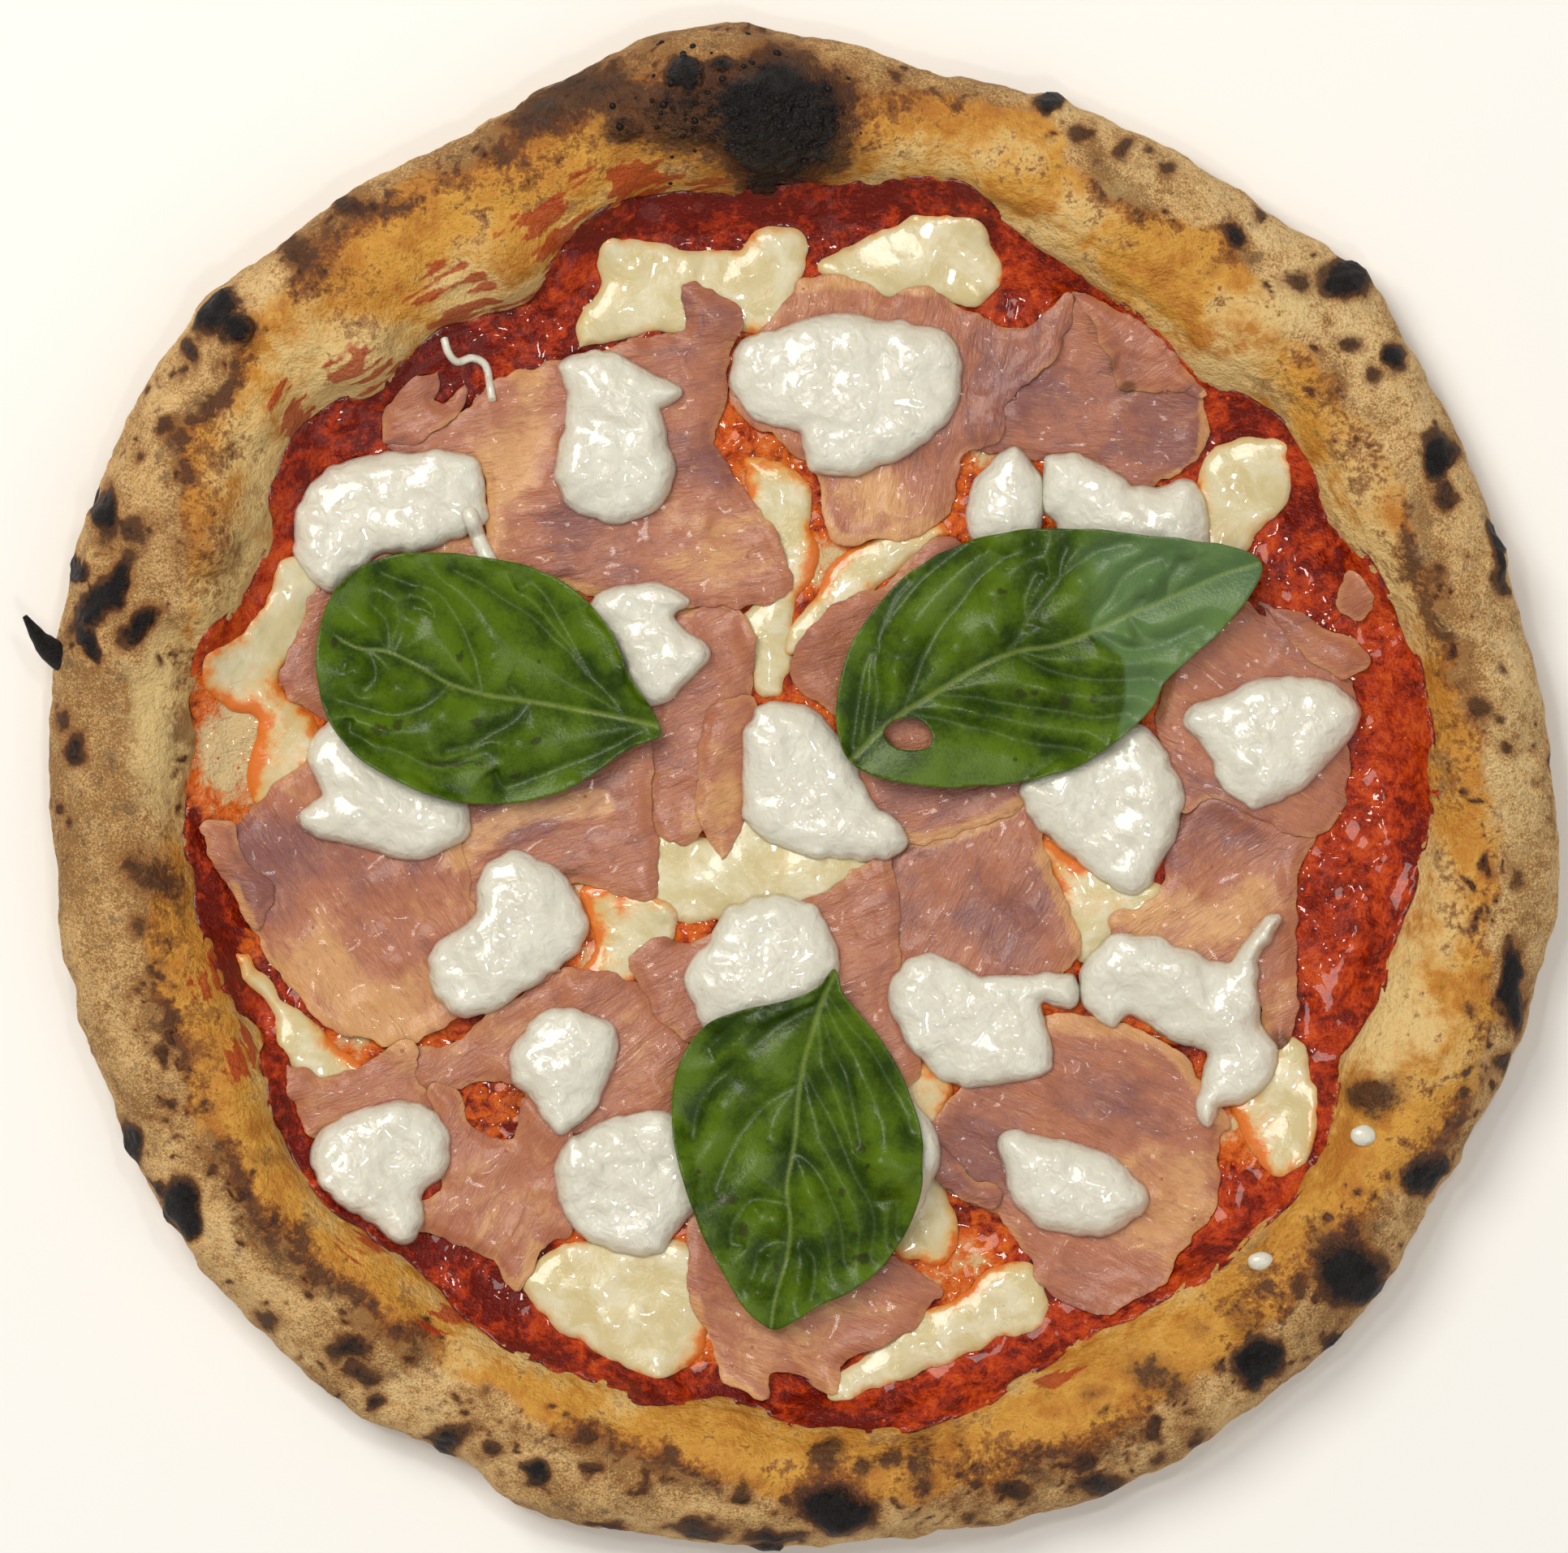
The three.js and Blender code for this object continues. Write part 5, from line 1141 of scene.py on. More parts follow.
def crust_grid(settings):
    """The rim's fine grid of places: stations round it, and rows from the underside over the crest."""
    SECTIONS, RAYS, ROUNDS = 240, 110, 6
    coarse = crust_sections(SECTIONS, RAYS)
    coarse = np.array([even_rows(section, settings.rows) for section in coarse])
    coarse = smooth_along(smooth_round(coarse, ROUNDS), ROUNDS)
    turn = np.arange(settings.stations) / settings.stations
    before = (turn * SECTIONS).astype(int)
    part = (turn * SECTIONS - before)[:, None, None]
    fine = curve_between(*(coarse[(before + k) % SECTIONS] for k in (-1, 0, 1, 2)), part)
    angle = (turn * 2 * math.pi)[:, None]
    return np.stack([fine[..., 0] * np.cos(angle), fine[..., 0] * np.sin(angle), fine[..., 1]], axis=-1)


def grid_normals(grid):
    """The outward directions at the places of the rim's grid."""
    round_way = np.roll(grid, -1, axis=0) - np.roll(grid, 1, axis=0)
    over_way = np.gradient(grid, axis=1)
    normal = np.cross(round_way, over_way)
    return normal / np.linalg.norm(normal, axis=-1, keepdims=True)


def unrolled(grid):
    """The grid's plan places, with the wall below the widest place laid out flat beyond it, so that
    marks near the outline end on the wall instead of running down it."""
    reach = np.hypot(grid[..., 0], grid[..., 1])
    widest = reach.argmax(axis=1)[:, None]
    drop = np.take_along_axis(grid[..., 2], widest, axis=1) - grid[..., 2]
    beyond = np.take_along_axis(reach, widest, axis=1) + drop
    laid_out = np.where(np.arange(grid.shape[1]) < widest, beyond, reach) / reach
    return (grid[..., :2] * laid_out[..., None]).reshape(-1, 2)


class Rim:
    """The crust's rim as a grid, with the shares that its paint and its relief depend on."""

    def __init__(self, grid):
        stations, rows = grid.shape[:2]
        self.grid = grid
        self.places = grid.reshape(-1, 3)
        self.flat = self.places[:, :2]
        self.normal = grid_normals(grid).reshape(-1, 3)
        self.row = np.tile(np.linspace(0, 1, rows), stations)
        crest_row = grid[..., 2].argmax(axis=1) / (rows - 1)
        crest = np.repeat(smooth_round(crest_row, rounds=20), rows)
        # wall is 0 up to the crest, and rises to 1 at the foot of the inner wall. upper is 0 on the
        # underside and 1 above it.
        self.wall = step(0.0, 1.0, (self.row - crest) / (1 - crest))
        self.upper = step(0.12, 0.2, self.row)
        # Places on a cylinder that is short round the rim and long over it, for marks that run round.
        steps_over = np.linalg.norm(np.diff(grid, axis=1, prepend=grid[:, :1]), axis=2)
        around = self.flat / np.hypot(*self.flat.T)[:, None]
        self.drawn = np.column_stack([around * 24 * MM, steps_over.cumsum(axis=1).ravel()])
        self.streak = noise(self.drawn, 1.7 * MM, 31) + 0.6 * noise(self.drawn, 0.9 * MM, 32)

    def paint(self):
        """What is painted on the rim, by name, as shares at its places."""
        ragged = warped(unrolled(self.grid), (1.3 * MM, 5 * MM, 21), (0.7 * MM, 2.2 * MM, 22))
        border = depth_inside(ragged, [smooth_curve(plan(GOLDEN_LINE)[::-1], 4 * MM)])
        border += 1.8 * MM * noise(self.flat, 9 * MM, 23)
        golden = step(-4 * MM, 4 * MM, border) * self.upper
        crest = 1 - step(1 * MM, 7 * MM, np.abs(border))
        crest *= step(-0.5, 0.5, noise(self.flat, 15 * MM, 24))
        return {
            "char": self.burnt(ragged, golden), "golden": golden, "wall": self.wall,
            # tan and pale are browning and pale dough, and in places painted shade and painted light.
            "smear": self.smeared(), "pale": spot_field(ragged, RIM_PALES_AND_LIGHT) * self.upper,
            "tan": np.maximum(spot_field(ragged, RIM_TANS_AND_SHADE), crest) * self.upper}

    def burnt(self, ragged, golden):
        """The scorches, fainter on the golden side but for the dome, and the freckles."""
        char = np.minimum(spot_field(ragged, SCORCHES), 0.96) * self.upper
        char *= 1 - 0.32 * golden * (1 - spot_field(self.flat, [DOME_BURN]))
        char = np.maximum(char, spot_field(ragged, freckles(clusters=180, seed=5)) * self.upper)
        # On the steep outer side the marks are broken up, so that none runs down it as a bar.
        steep = (1 - step(0.15, 0.5, self.normal[:, 2])) * (1 - golden)
        broken = noise(self.places, 8 * MM, 41) + 0.5 * noise(self.places, 3.5 * MM, 42)
        return char * (1 - 0.85 * steep * step(-0.15, 0.25, broken))

    def smeared(self):
        """Sauce on the inner wall, in streaks and along its foot."""
        smear = spot_field(self.flat, SAUCE_SMEARS) * step(0.0, 0.3, self.wall)
        smear = step(0.3, 0.7, smear + 0.7 * self.streak) * step(0.05, 0.3, smear)
        return np.maximum(smear, step(0.84, 1.0, self.wall + 0.06 * self.streak))

    def relief(self, settings, char, golden):
        """How far each place stands out: lumps all over, folds on the inner wall, a rough outside,
        crumbly char and the domes and hollows. It fades out at the underside and at the foot."""
        places = self.places
        above_foot = 1 - 0.85 * step(0.6, 0.85, self.wall)
        folds = noise(self.drawn, 4.5 * MM, 33) * step(0.05, 0.5, self.wall) * above_foot
        rough_outside = (1 - golden) * self.upper
        crumbly = step(0.55, 1.0, char)
        rise = settings.lump * (0.8 * noise(places, 17 * MM, 1) + 0.6 * noise(places, 7.5 * MM, 2))
        rise += above_foot * MM * (0.28 * noise(places, 3.1 * MM, 3) + 0.1 * noise(places, 1.5 * MM, 4))
        rise += golden * MM * (0.18 * self.streak * above_foot + 0.55 * folds)
        rise += rough_outside * MM * (0.45 * noise(places, 6 * MM, 6) + 0.2 * noise(places, 2.2 * MM, 7))
        rise += crumbly * MM * (0.3 * noise(places, 1.9 * MM, 8) + 0.35 * noise(places, 4 * MM, 9))
        rise += settings.blister * step(0.45, 1.1, char) * (0.6 + 0.4 * noise(places, 3 * MM, 5))
        for x, y, reach, height in RIM_BUBBLES:
            away = np.hypot(*(self.flat - plan((x, y))).T) / (reach * PIXEL)
            rise += height * MM * np.clip(1 - away ** 2, 0, 1) ** 0.8 * self.upper
        return rise * np.minimum(1, places[:, 2] / (3 * MM)) * (1 - step(0.9, 1.0, self.row))


def build_crust(settings, material):
    rim = Rim(crust_grid(settings))
    painted = rim.paint()
    rise = rim.relief(settings, painted["char"], painted["golden"])
    places = rim.places + rim.normal * rise[:, None]
    places[:, 2] = np.maximum(places[:, 2], 0)
    vertices, faces, painted = close_crust(places.reshape(rim.grid.shape), painted)
    burnt_top = step(5 * MM, 9 * MM, vertices[:, 2])
    painted["bubbly"] = spot_field(vertices[:, :2], [DOME_BUBBLES]) * burnt_top
    return make_piece("pizza_crust", vertices, faces, material, painted)


def close_crust(grid, painted):
    """Adds the underside and the hidden floor to the rim's grid, as rings round the middle."""
    UNDER_RINGS = (0.8, 0.6, 0.4, 0.2)
    FLOOR_RINGS = (0.7, 0.35)
    stations, rows = grid.shape[:2]
    rings = [grid[:, 0] * (share, share, 1) for share in reversed(UNDER_RINGS)]
    rings += [grid[:, k] for k in range(rows)]
    rings += [grid[:, -1] * (share, share, 1) for share in FLOOR_RINGS]
    vertices = np.concatenate([np.stack(rings, axis=1).reshape(-1, 3), [[0, 0, 0], [0, 0, grid[0, -1, 2]]]])
    count = len(rings)
    station, ring = np.meshgrid(np.arange(stations), np.arange(count - 1), indexing="ij")
    here = (station * count + ring).ravel()
    after = ((station + 1) % stations * count + ring).ravel()
    around = np.arange(stations)
    first, first_after = around * count, (around + 1) % stations * count
    under, floor = stations * count, stations * count + 1
    faces = np.vstack([
        np.column_stack([here, after, after + 1]), np.column_stack([here, after + 1, here + 1]),
        np.column_stack([np.full(stations, under), first_after, first]),
        np.column_stack([np.full(stations, floor), first + count - 1, first_after + count - 1])])
    whole = {}
    for key, values in painted.items():
        full = np.zeros((stations, count))
        full[:, len(UNDER_RINGS): len(UNDER_RINGS) + rows] = values.reshape(stations, rows)
        whole[key] = np.concatenate([full.ravel(), [0, 0]])
    return vertices, faces, whole


# ---------------------------------------------------------------- the toppings
def sheet_piece(name, laid, material, bulge, attributes):
    """A piece from what Surface.lay returns."""
    points, triangles, low, high, _ = laid
    vertices, faces, source = slab(points, triangles, low, high, bulge)
    painted = {key: values[source] for key, values in attributes.items()}
    return make_piece(name, vertices, faces, material, painted)


def mound(height, edge, shoulder, lumps, seed):
    """The thickness of a soft mound, as a function of plan points and depths."""
    def thickness(points, depth):
        inward = np.minimum(1, depth / shoulder)
        dome = edge + (height - edge) * np.sqrt(1 - (1 - inward) ** 2)
        waves = sum(share * noise(points, size, seed + k) for k, (share, size) in enumerate(lumps))
        return dome * (1 + waves)
    return thickness


def build_sauce(surface, material):
    loops = silhouette("tomato_sauce")
    loop = refine(loops[0], 2 * MM, [], 1)
    loop = loop + outward(loop) * (3.4 * MM + 0.8 * MM * noise(loop, 5 * MM, 14))[:, None]

    def thickness(points, depth):
        pulp = 0.8 * noise(points, 6 * MM, 11) + 0.45 * noise(points, 2.7 * MM, 12)
        return (0.15 + (2.0 + 0.7 * noise(points, 16 * MM, 13) + pulp) * step(0, 5 * MM, depth)) * MM
    laid = surface.lay("tomato_sauce", [loop], thickness, spacing=1.25 * MM, seed=3, stiffness=1.8 * MM,
                       gap=0.3 * MM)
    points, depth = laid[0], laid[4]
    middle = step(16 * MM, 30 * MM, depth) * 0.5
    ragged = warped(points, OIL_WAVE)
    painted = {"oil": np.maximum(spot_field(ragged, OIL_STAINS), middle),
               # Darker sauce: thick places, and painted shade along the rim's inner wall where the rim
               # overhangs it.
               "thick": spot_field(ragged, SAUCE_THICK_AND_SHADE)}
    piece = sheet_piece("sauce_layer", laid, material, 0, painted)
    return belongs(piece, "tomato_sauce", "tomato_sauce")


def build_mozzarella(surface, node, seed, settings, material):
    ragged = [(1.9 * MM, 10 * MM), (0.7 * MM, 4 * MM), (0.25 * MM, 1.6 * MM)]
    loop = refine(silhouette(node)[0], 0.7 * MM, ragged, seed)
    lumps = [(0.2, 9 * MM), (0.07, 3 * MM)]
    thickness = mound(settings.cheese_height, 0.12 * MM, 9 * MM, lumps, seed)
    laid = surface.lay("mozzarella", [loop], thickness, spacing=0.75 * MM, seed=seed, stiffness=1.2 * MM)
    painted = {"depth": np.minimum(1, laid[4] / (4 * MM)),
               "oil": spot_field(warped(laid[0], OIL_WAVE), OIL_STAINS)}
    piece = sheet_piece("cheese_" + node[-2:], laid, material, 0.05 * MM, painted)
    return belongs(piece, "mozzarella", node)


def fat_share(points):
    share = np.zeros(len(points))
    for line, half_width in FAT_BANDS:
        distance = closest(points, smooth_curve(plan(line), 1 * MM, closed=False))[0]
        share = np.maximum(share, 1 - step(0.3, 1.0, distance / (half_width * MM)))
    return share


def ham_sheet(surface, loop, angle, seed, settings):
    """One layer of ham as Surface.lay returns it, with ridges along its fibres and a curled edge."""
    def thickness(points, depth):
        taper = 0.18 + 0.82 * step(0, 2.4 * MM, depth)
        return settings.ham_thickness * taper * (1 + 0.12 * noise(points, 6 * MM, seed))

    def lift(points, depth):
        ridge = (1 - np.abs(noise(turned(points, angle) * (0.45, 1), 6 * MM, seed + 3))) ** 3
        edge = 1 - step(0, 5 * MM, depth)
        ripple = 0.3 * MM * (1 + noise(points, 11 * MM, seed + 1)) + 0.6 * MM * ridge
        curl = 1.3 * MM * step(0.1, 0.8, noise(points, 12 * MM, seed + 2)) * edge
        frill = 0.3 * MM * step(-0.2, 1, noise(points, 3.5 * MM, seed + 4)) * edge ** 2
        return ripple * (1 - 0.8 * edge) + curl + frill
    return surface.lay("ham", [loop], thickness, lift, spacing=0.8 * MM, seed=seed, stiffness=1.2 * MM)


def ham_parts(laid, angle, bulge):
    """A laid slice's vertices, faces, attributes and fibre coordinates."""
    points, triangles, low, high, depth = laid
    vertices, faces, source = slab(points, triangles, low, high, bulge)
    tone = tone_field(warped(points, (3 * MM, 9 * MM, 71), (1.2 * MM, 3 * MM, 72)), HAM_TONES)
    crisp = spot_field(warped(points, (0.6 * MM, 2 * MM, 73)), HAM_CRISPS)
    painted = {"tone": tone[source], "fat": fat_share(points)[source], "crisp": crisp[source],
               "edge": 1 - step(0, 1.5 * MM, depth)[source]}
    return vertices, faces, painted, turned(points, angle)[source]


def build_ham(surface, node, seed, settings, material):
    ragged = [(1.0 * MM, 9 * MM), (0.6 * MM, 3 * MM), (0.25 * MM, 1.2 * MM)]
    angle = math.radians(HAM_GRAIN.get(node, 25))
    loop = refine(silhouette(node)[0], 0.75 * MM, ragged, seed)
    layers = [ham_parts(ham_sheet(surface, loop, angle, seed, settings), angle, 0.08 * MM)]
    if node in HAM_FOLDS:
        fold = refine(plan(HAM_FOLDS[node]), 0.75 * MM, ragged, seed + 7)
        layers.append(ham_parts(ham_sheet(surface, fold, angle, seed + 7, settings), angle + 0.7, 0.08 * MM))
    starts = np.cumsum([0] + [len(layer[0]) for layer in layers])
    vertices = np.vstack([layer[0] for layer in layers])
    faces = np.vstack([layer[1] + start for layer, start in zip(layers, starts)])
    painted = {key: np.concatenate([layer[2][key] for layer in layers]) for key in layers[0][2]}
    uv = np.vstack([layer[3] for layer in layers])
    piece = make_piece("ham_slice_" + node[-2:], vertices, faces, material, painted, uv)
    return belongs(piece, "ham", node)


def build_dollop(surface, node, seed, settings, material):
    wobble = [(0.7 * MM, 6 * MM), (0.4 * MM, 2.4 * MM)]
    loops = silhouette(node)
    loop = refine(loops[0], 0.65 * MM, wobble, seed)
    holes = [refine(hole, 0.65 * MM, [], seed)[::-1] for hole in loops[1:]]
    lumps = [(0.16, 10 * MM), (0.1, 5.2 * MM), (0.055, 2.6 * MM)]
    thickness = mound(settings.dollop_height, 1.3 * MM, 8 * MM, lumps, seed)
    laid = surface.lay("stracciatella", [loop, *holes], thickness, spacing=0.62 * MM, seed=seed,
                       stiffness=3 * MM)
    piece = sheet_piece("cream_" + node[-2:], laid, material, 0.5 * MM, {})
    return belongs(piece, "stracciatella", node)


def build_leaf(surface, node, seed, settings, material):
    leaf = LEAVES[node]
    loops = [refine(loop, 0.5 * MM, [(0.2 * MM, 5 * MM)], seed) for loop in silhouette(node)]
    loops[1:] = [loop[::-1] for loop in loops[1:]]
    midrib = smooth_curve(plan(leaf["midrib"]), 0.5 * MM, closed=False)
    veins = np.vstack([smooth_curve(plan(vein), 0.3 * MM, closed=False) for vein in leaf["veins"]])

    def lines(points):
        """The distances to the midrib and to the nearest side vein, and the share along the midrib."""
        rib, share = closest(points, midrib)
        side = closest(points, veins)[0]
        return rib, side, share

    def lift(points, depth):
        rib, side, _ = lines(points)
        arch = 3.4 * MM * (1 - np.minimum(1, rib / (28 * MM)) ** 2)
        away = np.minimum(rib * 0.8, side)
        pillow = 3.2 * MM * (1 - np.exp(-away ** 2 / (away + 0.5 * MM) / (3.6 * MM)))
        wave = 0.7 * MM * noise(points, 15 * MM, seed) + 0.12 * MM * noise(points, 4 * MM, seed + 1)
        puff = np.zeros(len(points))
        for x, y, reach in leaf["blisters"]:
            away = np.hypot(*(points - plan((x, y))).T) / (reach * PIXEL)
            puff = np.maximum(puff, 1.5 * MM * np.exp(-2.5 * away ** 2))
        return arch + pillow + wave + puff

    def thickness(points, depth):
        return np.full(len(points), settings.leaf_thickness)
    laid = surface.lay("basil", loops, thickness, lift, spacing=0.5 * MM, seed=seed, stiffness=6 * MM)
    points = laid[0]
    rib, side, share = lines(points)
    main_vein = 1 - step(0.2 * MM, (1.0 - 0.6 * share) * MM, rib)
    specks = [(*speck, 0, 1.0) for speck in leaf["specks"]]
    painted = {
        "vein": np.maximum(main_vein, 0.07 * (1 - step(0, 0.7 * MM, side))),
        "speck": spot_field(warped(points, (0.5 * MM, 1.5 * MM, 91)), specks),
        # pillow is 0 at the veins and 1 between them; it darkens the green along the veins as painted shade.
        "pillow": 1 - np.exp(-(np.minimum(rib, side) / (2.4 * MM)) ** 2),
        "pale": np.zeros(len(points)),
    }
    if leaf["pale"]:
        # The border of the pale part is crisp low down and soft higher up.
        border = smooth_curve(plan(leaf["pale"]), 0.6 * MM)
        crisp_below, soft_above = plan([(0, 800), (0, 720)])[:, 1]
        soft = 0.6 * MM + 5 * MM * step(crisp_below, soft_above, points[:, 1])
        painted["pale"] = step(-1, 1, depth_inside(points, [border]) / soft)
    piece = sheet_piece(node + "_leaf", laid, material, 0.1 * MM, painted)
    return belongs(piece, "basil", node)


def geometry_group(name, inputs):
    """A node group that takes and gives a geometry and has these named inputs."""
    group = bpy.data.node_groups.new(name, "GeometryNodeTree")
    group.interface.new_socket("Geometry", in_out="INPUT", socket_type="NodeSocketGeometry")
    group.interface.new_socket("Geometry", in_out="OUTPUT", socket_type="NodeSocketGeometry")
    for label, kind in inputs.items():
        group.interface.new_socket(label, in_out="INPUT", socket_type="NodeSocket" + kind)
    return group, add_node(group, "NodeGroupInput").outputs


def give(group, geometry, material):
    """Ends a node group: real geometry, smooth, with the material."""
    real = add_node(group, "GeometryNodeRealizeInstances", None, {"Geometry": geometry})
    smooth = add_node(group, "GeometryNodeSetShadeSmooth", None, {"Geometry": real.outputs[0]})
    painted = add_node(group, "GeometryNodeSetMaterial", None,
                       {"Geometry": smooth.outputs[0], "Material": material})
    add_node(group, "NodeGroupOutput", None, {"Geometry": painted.outputs[0]})
    return group


def grow(piece, group, values):
    """Runs a node group on a piece, whose mesh becomes what the group makes."""
    modifier = piece.modifiers.new(group.name, "NODES")
    modifier.node_group = group
    for item in group.interface.items_tree:
        if item.in_out == "INPUT" and item.name in values:
            modifier[item.identifier] = values[item.name]
    ready = piece.evaluated_get(bpy.context.evaluated_depsgraph_get())
    mesh = bpy.data.meshes.new_from_object(ready)
    if not mesh.polygons:
        raise RuntimeError(group.name + " made nothing for " + piece.name)
    piece.modifiers.remove(modifier)
    piece.data = mesh
    return piece


def scatter_group():
    """Round grains on a surface. Where an attribute called bubbly is 0 there are none."""
    group, inputs = geometry_group("scattered_grains", {
        "Density": "Float", "Smallest": "Float", "Largest": "Float", "Flatness": "Float", "Seed": "Int",
        "Material": "Material"})
    share = add_node(group, "GeometryNodeInputNamedAttribute", {"data_type": "FLOAT"}, {"Name": "bubbly"})
    density = add_node(group, "ShaderNodeMath", {"operation": "MULTIPLY"},
                       {0: share.outputs[0], 1: inputs["Density"]})
    points = add_node(group, "GeometryNodeDistributePointsOnFaces", None,
                      {"Mesh": inputs["Geometry"], "Density": density.outputs[0], "Seed": inputs["Seed"]})
    size = add_node(group, "FunctionNodeRandomValue", {"data_type": "FLOAT"},
                    {2: inputs["Smallest"], 3: inputs["Largest"], 8: inputs["Seed"]})
    tall = add_node(group, "ShaderNodeMath", {"operation": "MULTIPLY"},
                    {0: size.outputs[1], 1: inputs["Flatness"]})
    scale = add_node(group, "ShaderNodeCombineXYZ", None,
                     {0: size.outputs[1], 1: size.outputs[1], 2: tall.outputs[0]})
    grain = add_node(group, "GeometryNodeMeshIcoSphere", None, {"Radius": 1.0, "Subdivisions": 3})
    placed = add_node(group, "GeometryNodeInstanceOnPoints", None, {
        "Points": points.outputs["Points"], "Instance": grain.outputs["Mesh"],
        "Rotation": points.outputs["Rotation"], "Scale": scale.outputs[0]})
    return give(group, placed.outputs[0], inputs["Material"])


def thread_group():
    """A round thread along the edges of a mesh."""
    group, inputs = geometry_group("swept_thread", {"Radius": "Float", "Material": "Material"})
    path = add_node(group, "GeometryNodeMeshToCurve", None, {"Mesh": inputs["Geometry"]})
    ring = add_node(group, "GeometryNodeCurvePrimitiveCircle", None,
                    {"Resolution": 14, "Radius": inputs["Radius"]})
    swept = add_node(group, "GeometryNodeCurveToMesh", None, {
        "Curve": path.outputs[0], "Profile Curve": ring.outputs[0], "Fill Caps": True})
    return give(group, swept.outputs[0], inputs["Material"])


def line_object(name, points):
    """A mesh that is only a line of points and edges."""
    mesh = bpy.data.meshes.new(name)
    mesh.from_pydata(points.tolist(), [(k, k + 1) for k in range(len(points) - 1)], [])
    return add_object(name, mesh)


def wall_faces(rings, sides, first=0):
    """Triangles between rings of vertices, which are numbered on from the first."""
    side = np.arange(sides)
    start = first + np.arange(rings - 1)[:, None] * sides
    a, b = (start + side).ravel(), (start + (side + 1) % sides).ravel()
    return np.vstack([np.column_stack([a, a + sides, b + sides]), np.column_stack([a, b + sides, b])])


def end_faces(pole, ring, sides):
    """Triangles from one vertex to a ring whose vertices are numbered on from another."""
    side = np.arange(sides)
    return np.column_stack([np.full(sides, pole), ring + side, ring + (side + 1) % sides])


def tapered_tube(path, radii, sides=14):
    """Vertices and triangles of a round tube along a path, closed by a point at each end."""
    along = np.gradient(path, axis=0)
    along /= np.linalg.norm(along, axis=1, keepdims=True)
    across = np.cross(along, (0, 0, 1))
    across /= np.linalg.norm(across, axis=1, keepdims=True)
    upward = np.cross(across, along)
    turn = np.arange(sides) / sides * 2 * math.pi
    rings = path[:, None] + radii[:, None, None] * (
        across[:, None] * np.cos(turn)[:, None] + upward[:, None] * np.sin(turn)[:, None])
    vertices = np.vstack([rings.reshape(-1, 3), path[0], path[-1]])
    poles = len(path) * sides
    return vertices, np.vstack([
        wall_faces(len(path), sides), end_faces(poles, 0, sides),
        end_faces(poles + 1, poles - sides, sides)[:, ::-1]])


def build_burnt_tip(material):
    """The burnt thread of dough at the left, painted as charred crust."""
    line = np.array([(*plan((x, y))[0], z * MM) for x, y, z, _ in BURNT_TIP])
    radii = np.array([[tip[3] * MM] for tip in BURNT_TIP])
    curve = smooth_curve(np.hstack([line, radii]), 0.5 * MM, closed=False)
    path, radii = curve[:, :3], curve[:, 3] * (1 + 0.2 * noise(curve[:, :3], 2 * MM, 81))
    vertices, faces = tapered_tube(path, radii)
    away = np.hypot(*(vertices[:, :2] - plan((92, 815))).T)
    painted = dict.fromkeys(("golden", "wall", "smear", "pale"), np.zeros(len(vertices)))
    painted |= {"char": 0.4 + 1.2 * step(0, 5 * MM, away), "tan": np.ones(len(vertices))}
    return belongs(make_piece("burnt_tip", vertices, faces, material, painted), "crust")


def build_drop(surface, name, spot, material):
    """A flattened drop of cream on the rim."""
    x, y, wide, tall = spot
    centre = plan((x, y))
    height = surface.height_at(centre)[0] + 0.5 * MM
    count, sides = 22, 32
    down, turn = np.meshgrid(np.arange(1, count + 1) / (count + 1) * math.pi,
                             np.arange(sides) / sides * 2 * math.pi, indexing="ij")
    rings = np.stack([np.sin(down) * np.cos(turn), np.sin(down) * np.sin(turn), np.cos(down)], axis=-1)
    vertices = np.vstack([(0, 0, 1), rings.reshape(-1, 3), (0, 0, -1)])
    last = len(vertices) - 1
    faces = np.vstack([wall_faces(count, sides, 1), end_faces(0, 1, sides),
                       end_faces(last, last - sides, sides)[:, ::-1]])
    vertices = vertices * (wide * MM, tall * MM, 1.5 * MM)
    vertices = vertices * (1 + 0.12 * noise(vertices, 2.5 * MM, 83))[:, None] + (*centre[0], height)
    return belongs(make_piece(name, vertices, faces, material), "stracciatella")


# ---------------------------------------------------------------- operators
def settings_of(context):
    scene = context.scene
    return scene.pizza_crust, scene.pizza_toppings, scene.pizza_stage


BAKERY = {}  # the surface and the group that scatters grains, which one operator leaves for the next


class PIZZA_OT_crust(bpy.types.Operator):
    """Build the baked crust from the crust node"""
    bl_idname = "pizza.crust"
    bl_label = "Crust"

    def execute(self, context):
        settings = settings_of(context)[0]
        material = crust_material(settings)
        crust = belongs(build_crust(settings, material), "crust", "crust")
        build_burnt_tip(material)
        BAKERY["surface"] = Surface(crust)
        BAKERY["scatter"] = scatter_group()
        bubbles = add_object("char_bubbles", crust.data.copy())
        coal = plain_material("charred_bubbles", settings.char, 0.42)
        belongs(grow(bubbles, BAKERY["scatter"], {
            "Density": 70000.0, "Smallest": 0.2 * MM, "Largest": 0.9 * MM, "Flatness": 0.8, "Seed": 4,
            "Material": coal}), "crust")
        return {"FINISHED"}


class PIZZA_OT_sauce(bpy.types.Operator):
    """Spread the tomato sauce"""
    bl_idname = "pizza.sauce"
    bl_label = "Tomato Sauce"

    def execute(self, context):
        build_sauce(BAKERY["surface"], sauce_material(settings_of(context)[1]))
        return {"FINISHED"}


def numbered_nodes(kind):
    found = sorted(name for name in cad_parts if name.startswith(kind + "_"))
    if not found:
        raise RuntimeError("the frame has no " + kind)
    return found


def lay_all(context, nodes, first_seed, seed_step, make_material, build):
    """Builds a piece for each of the nodes, and returns the material that they share."""
    settings = settings_of(context)[1]
    material = make_material(settings)
    for number, node in enumerate(nodes):
        build(BAKERY["surface"], node, first_seed + seed_step * number, settings, material)
    return material


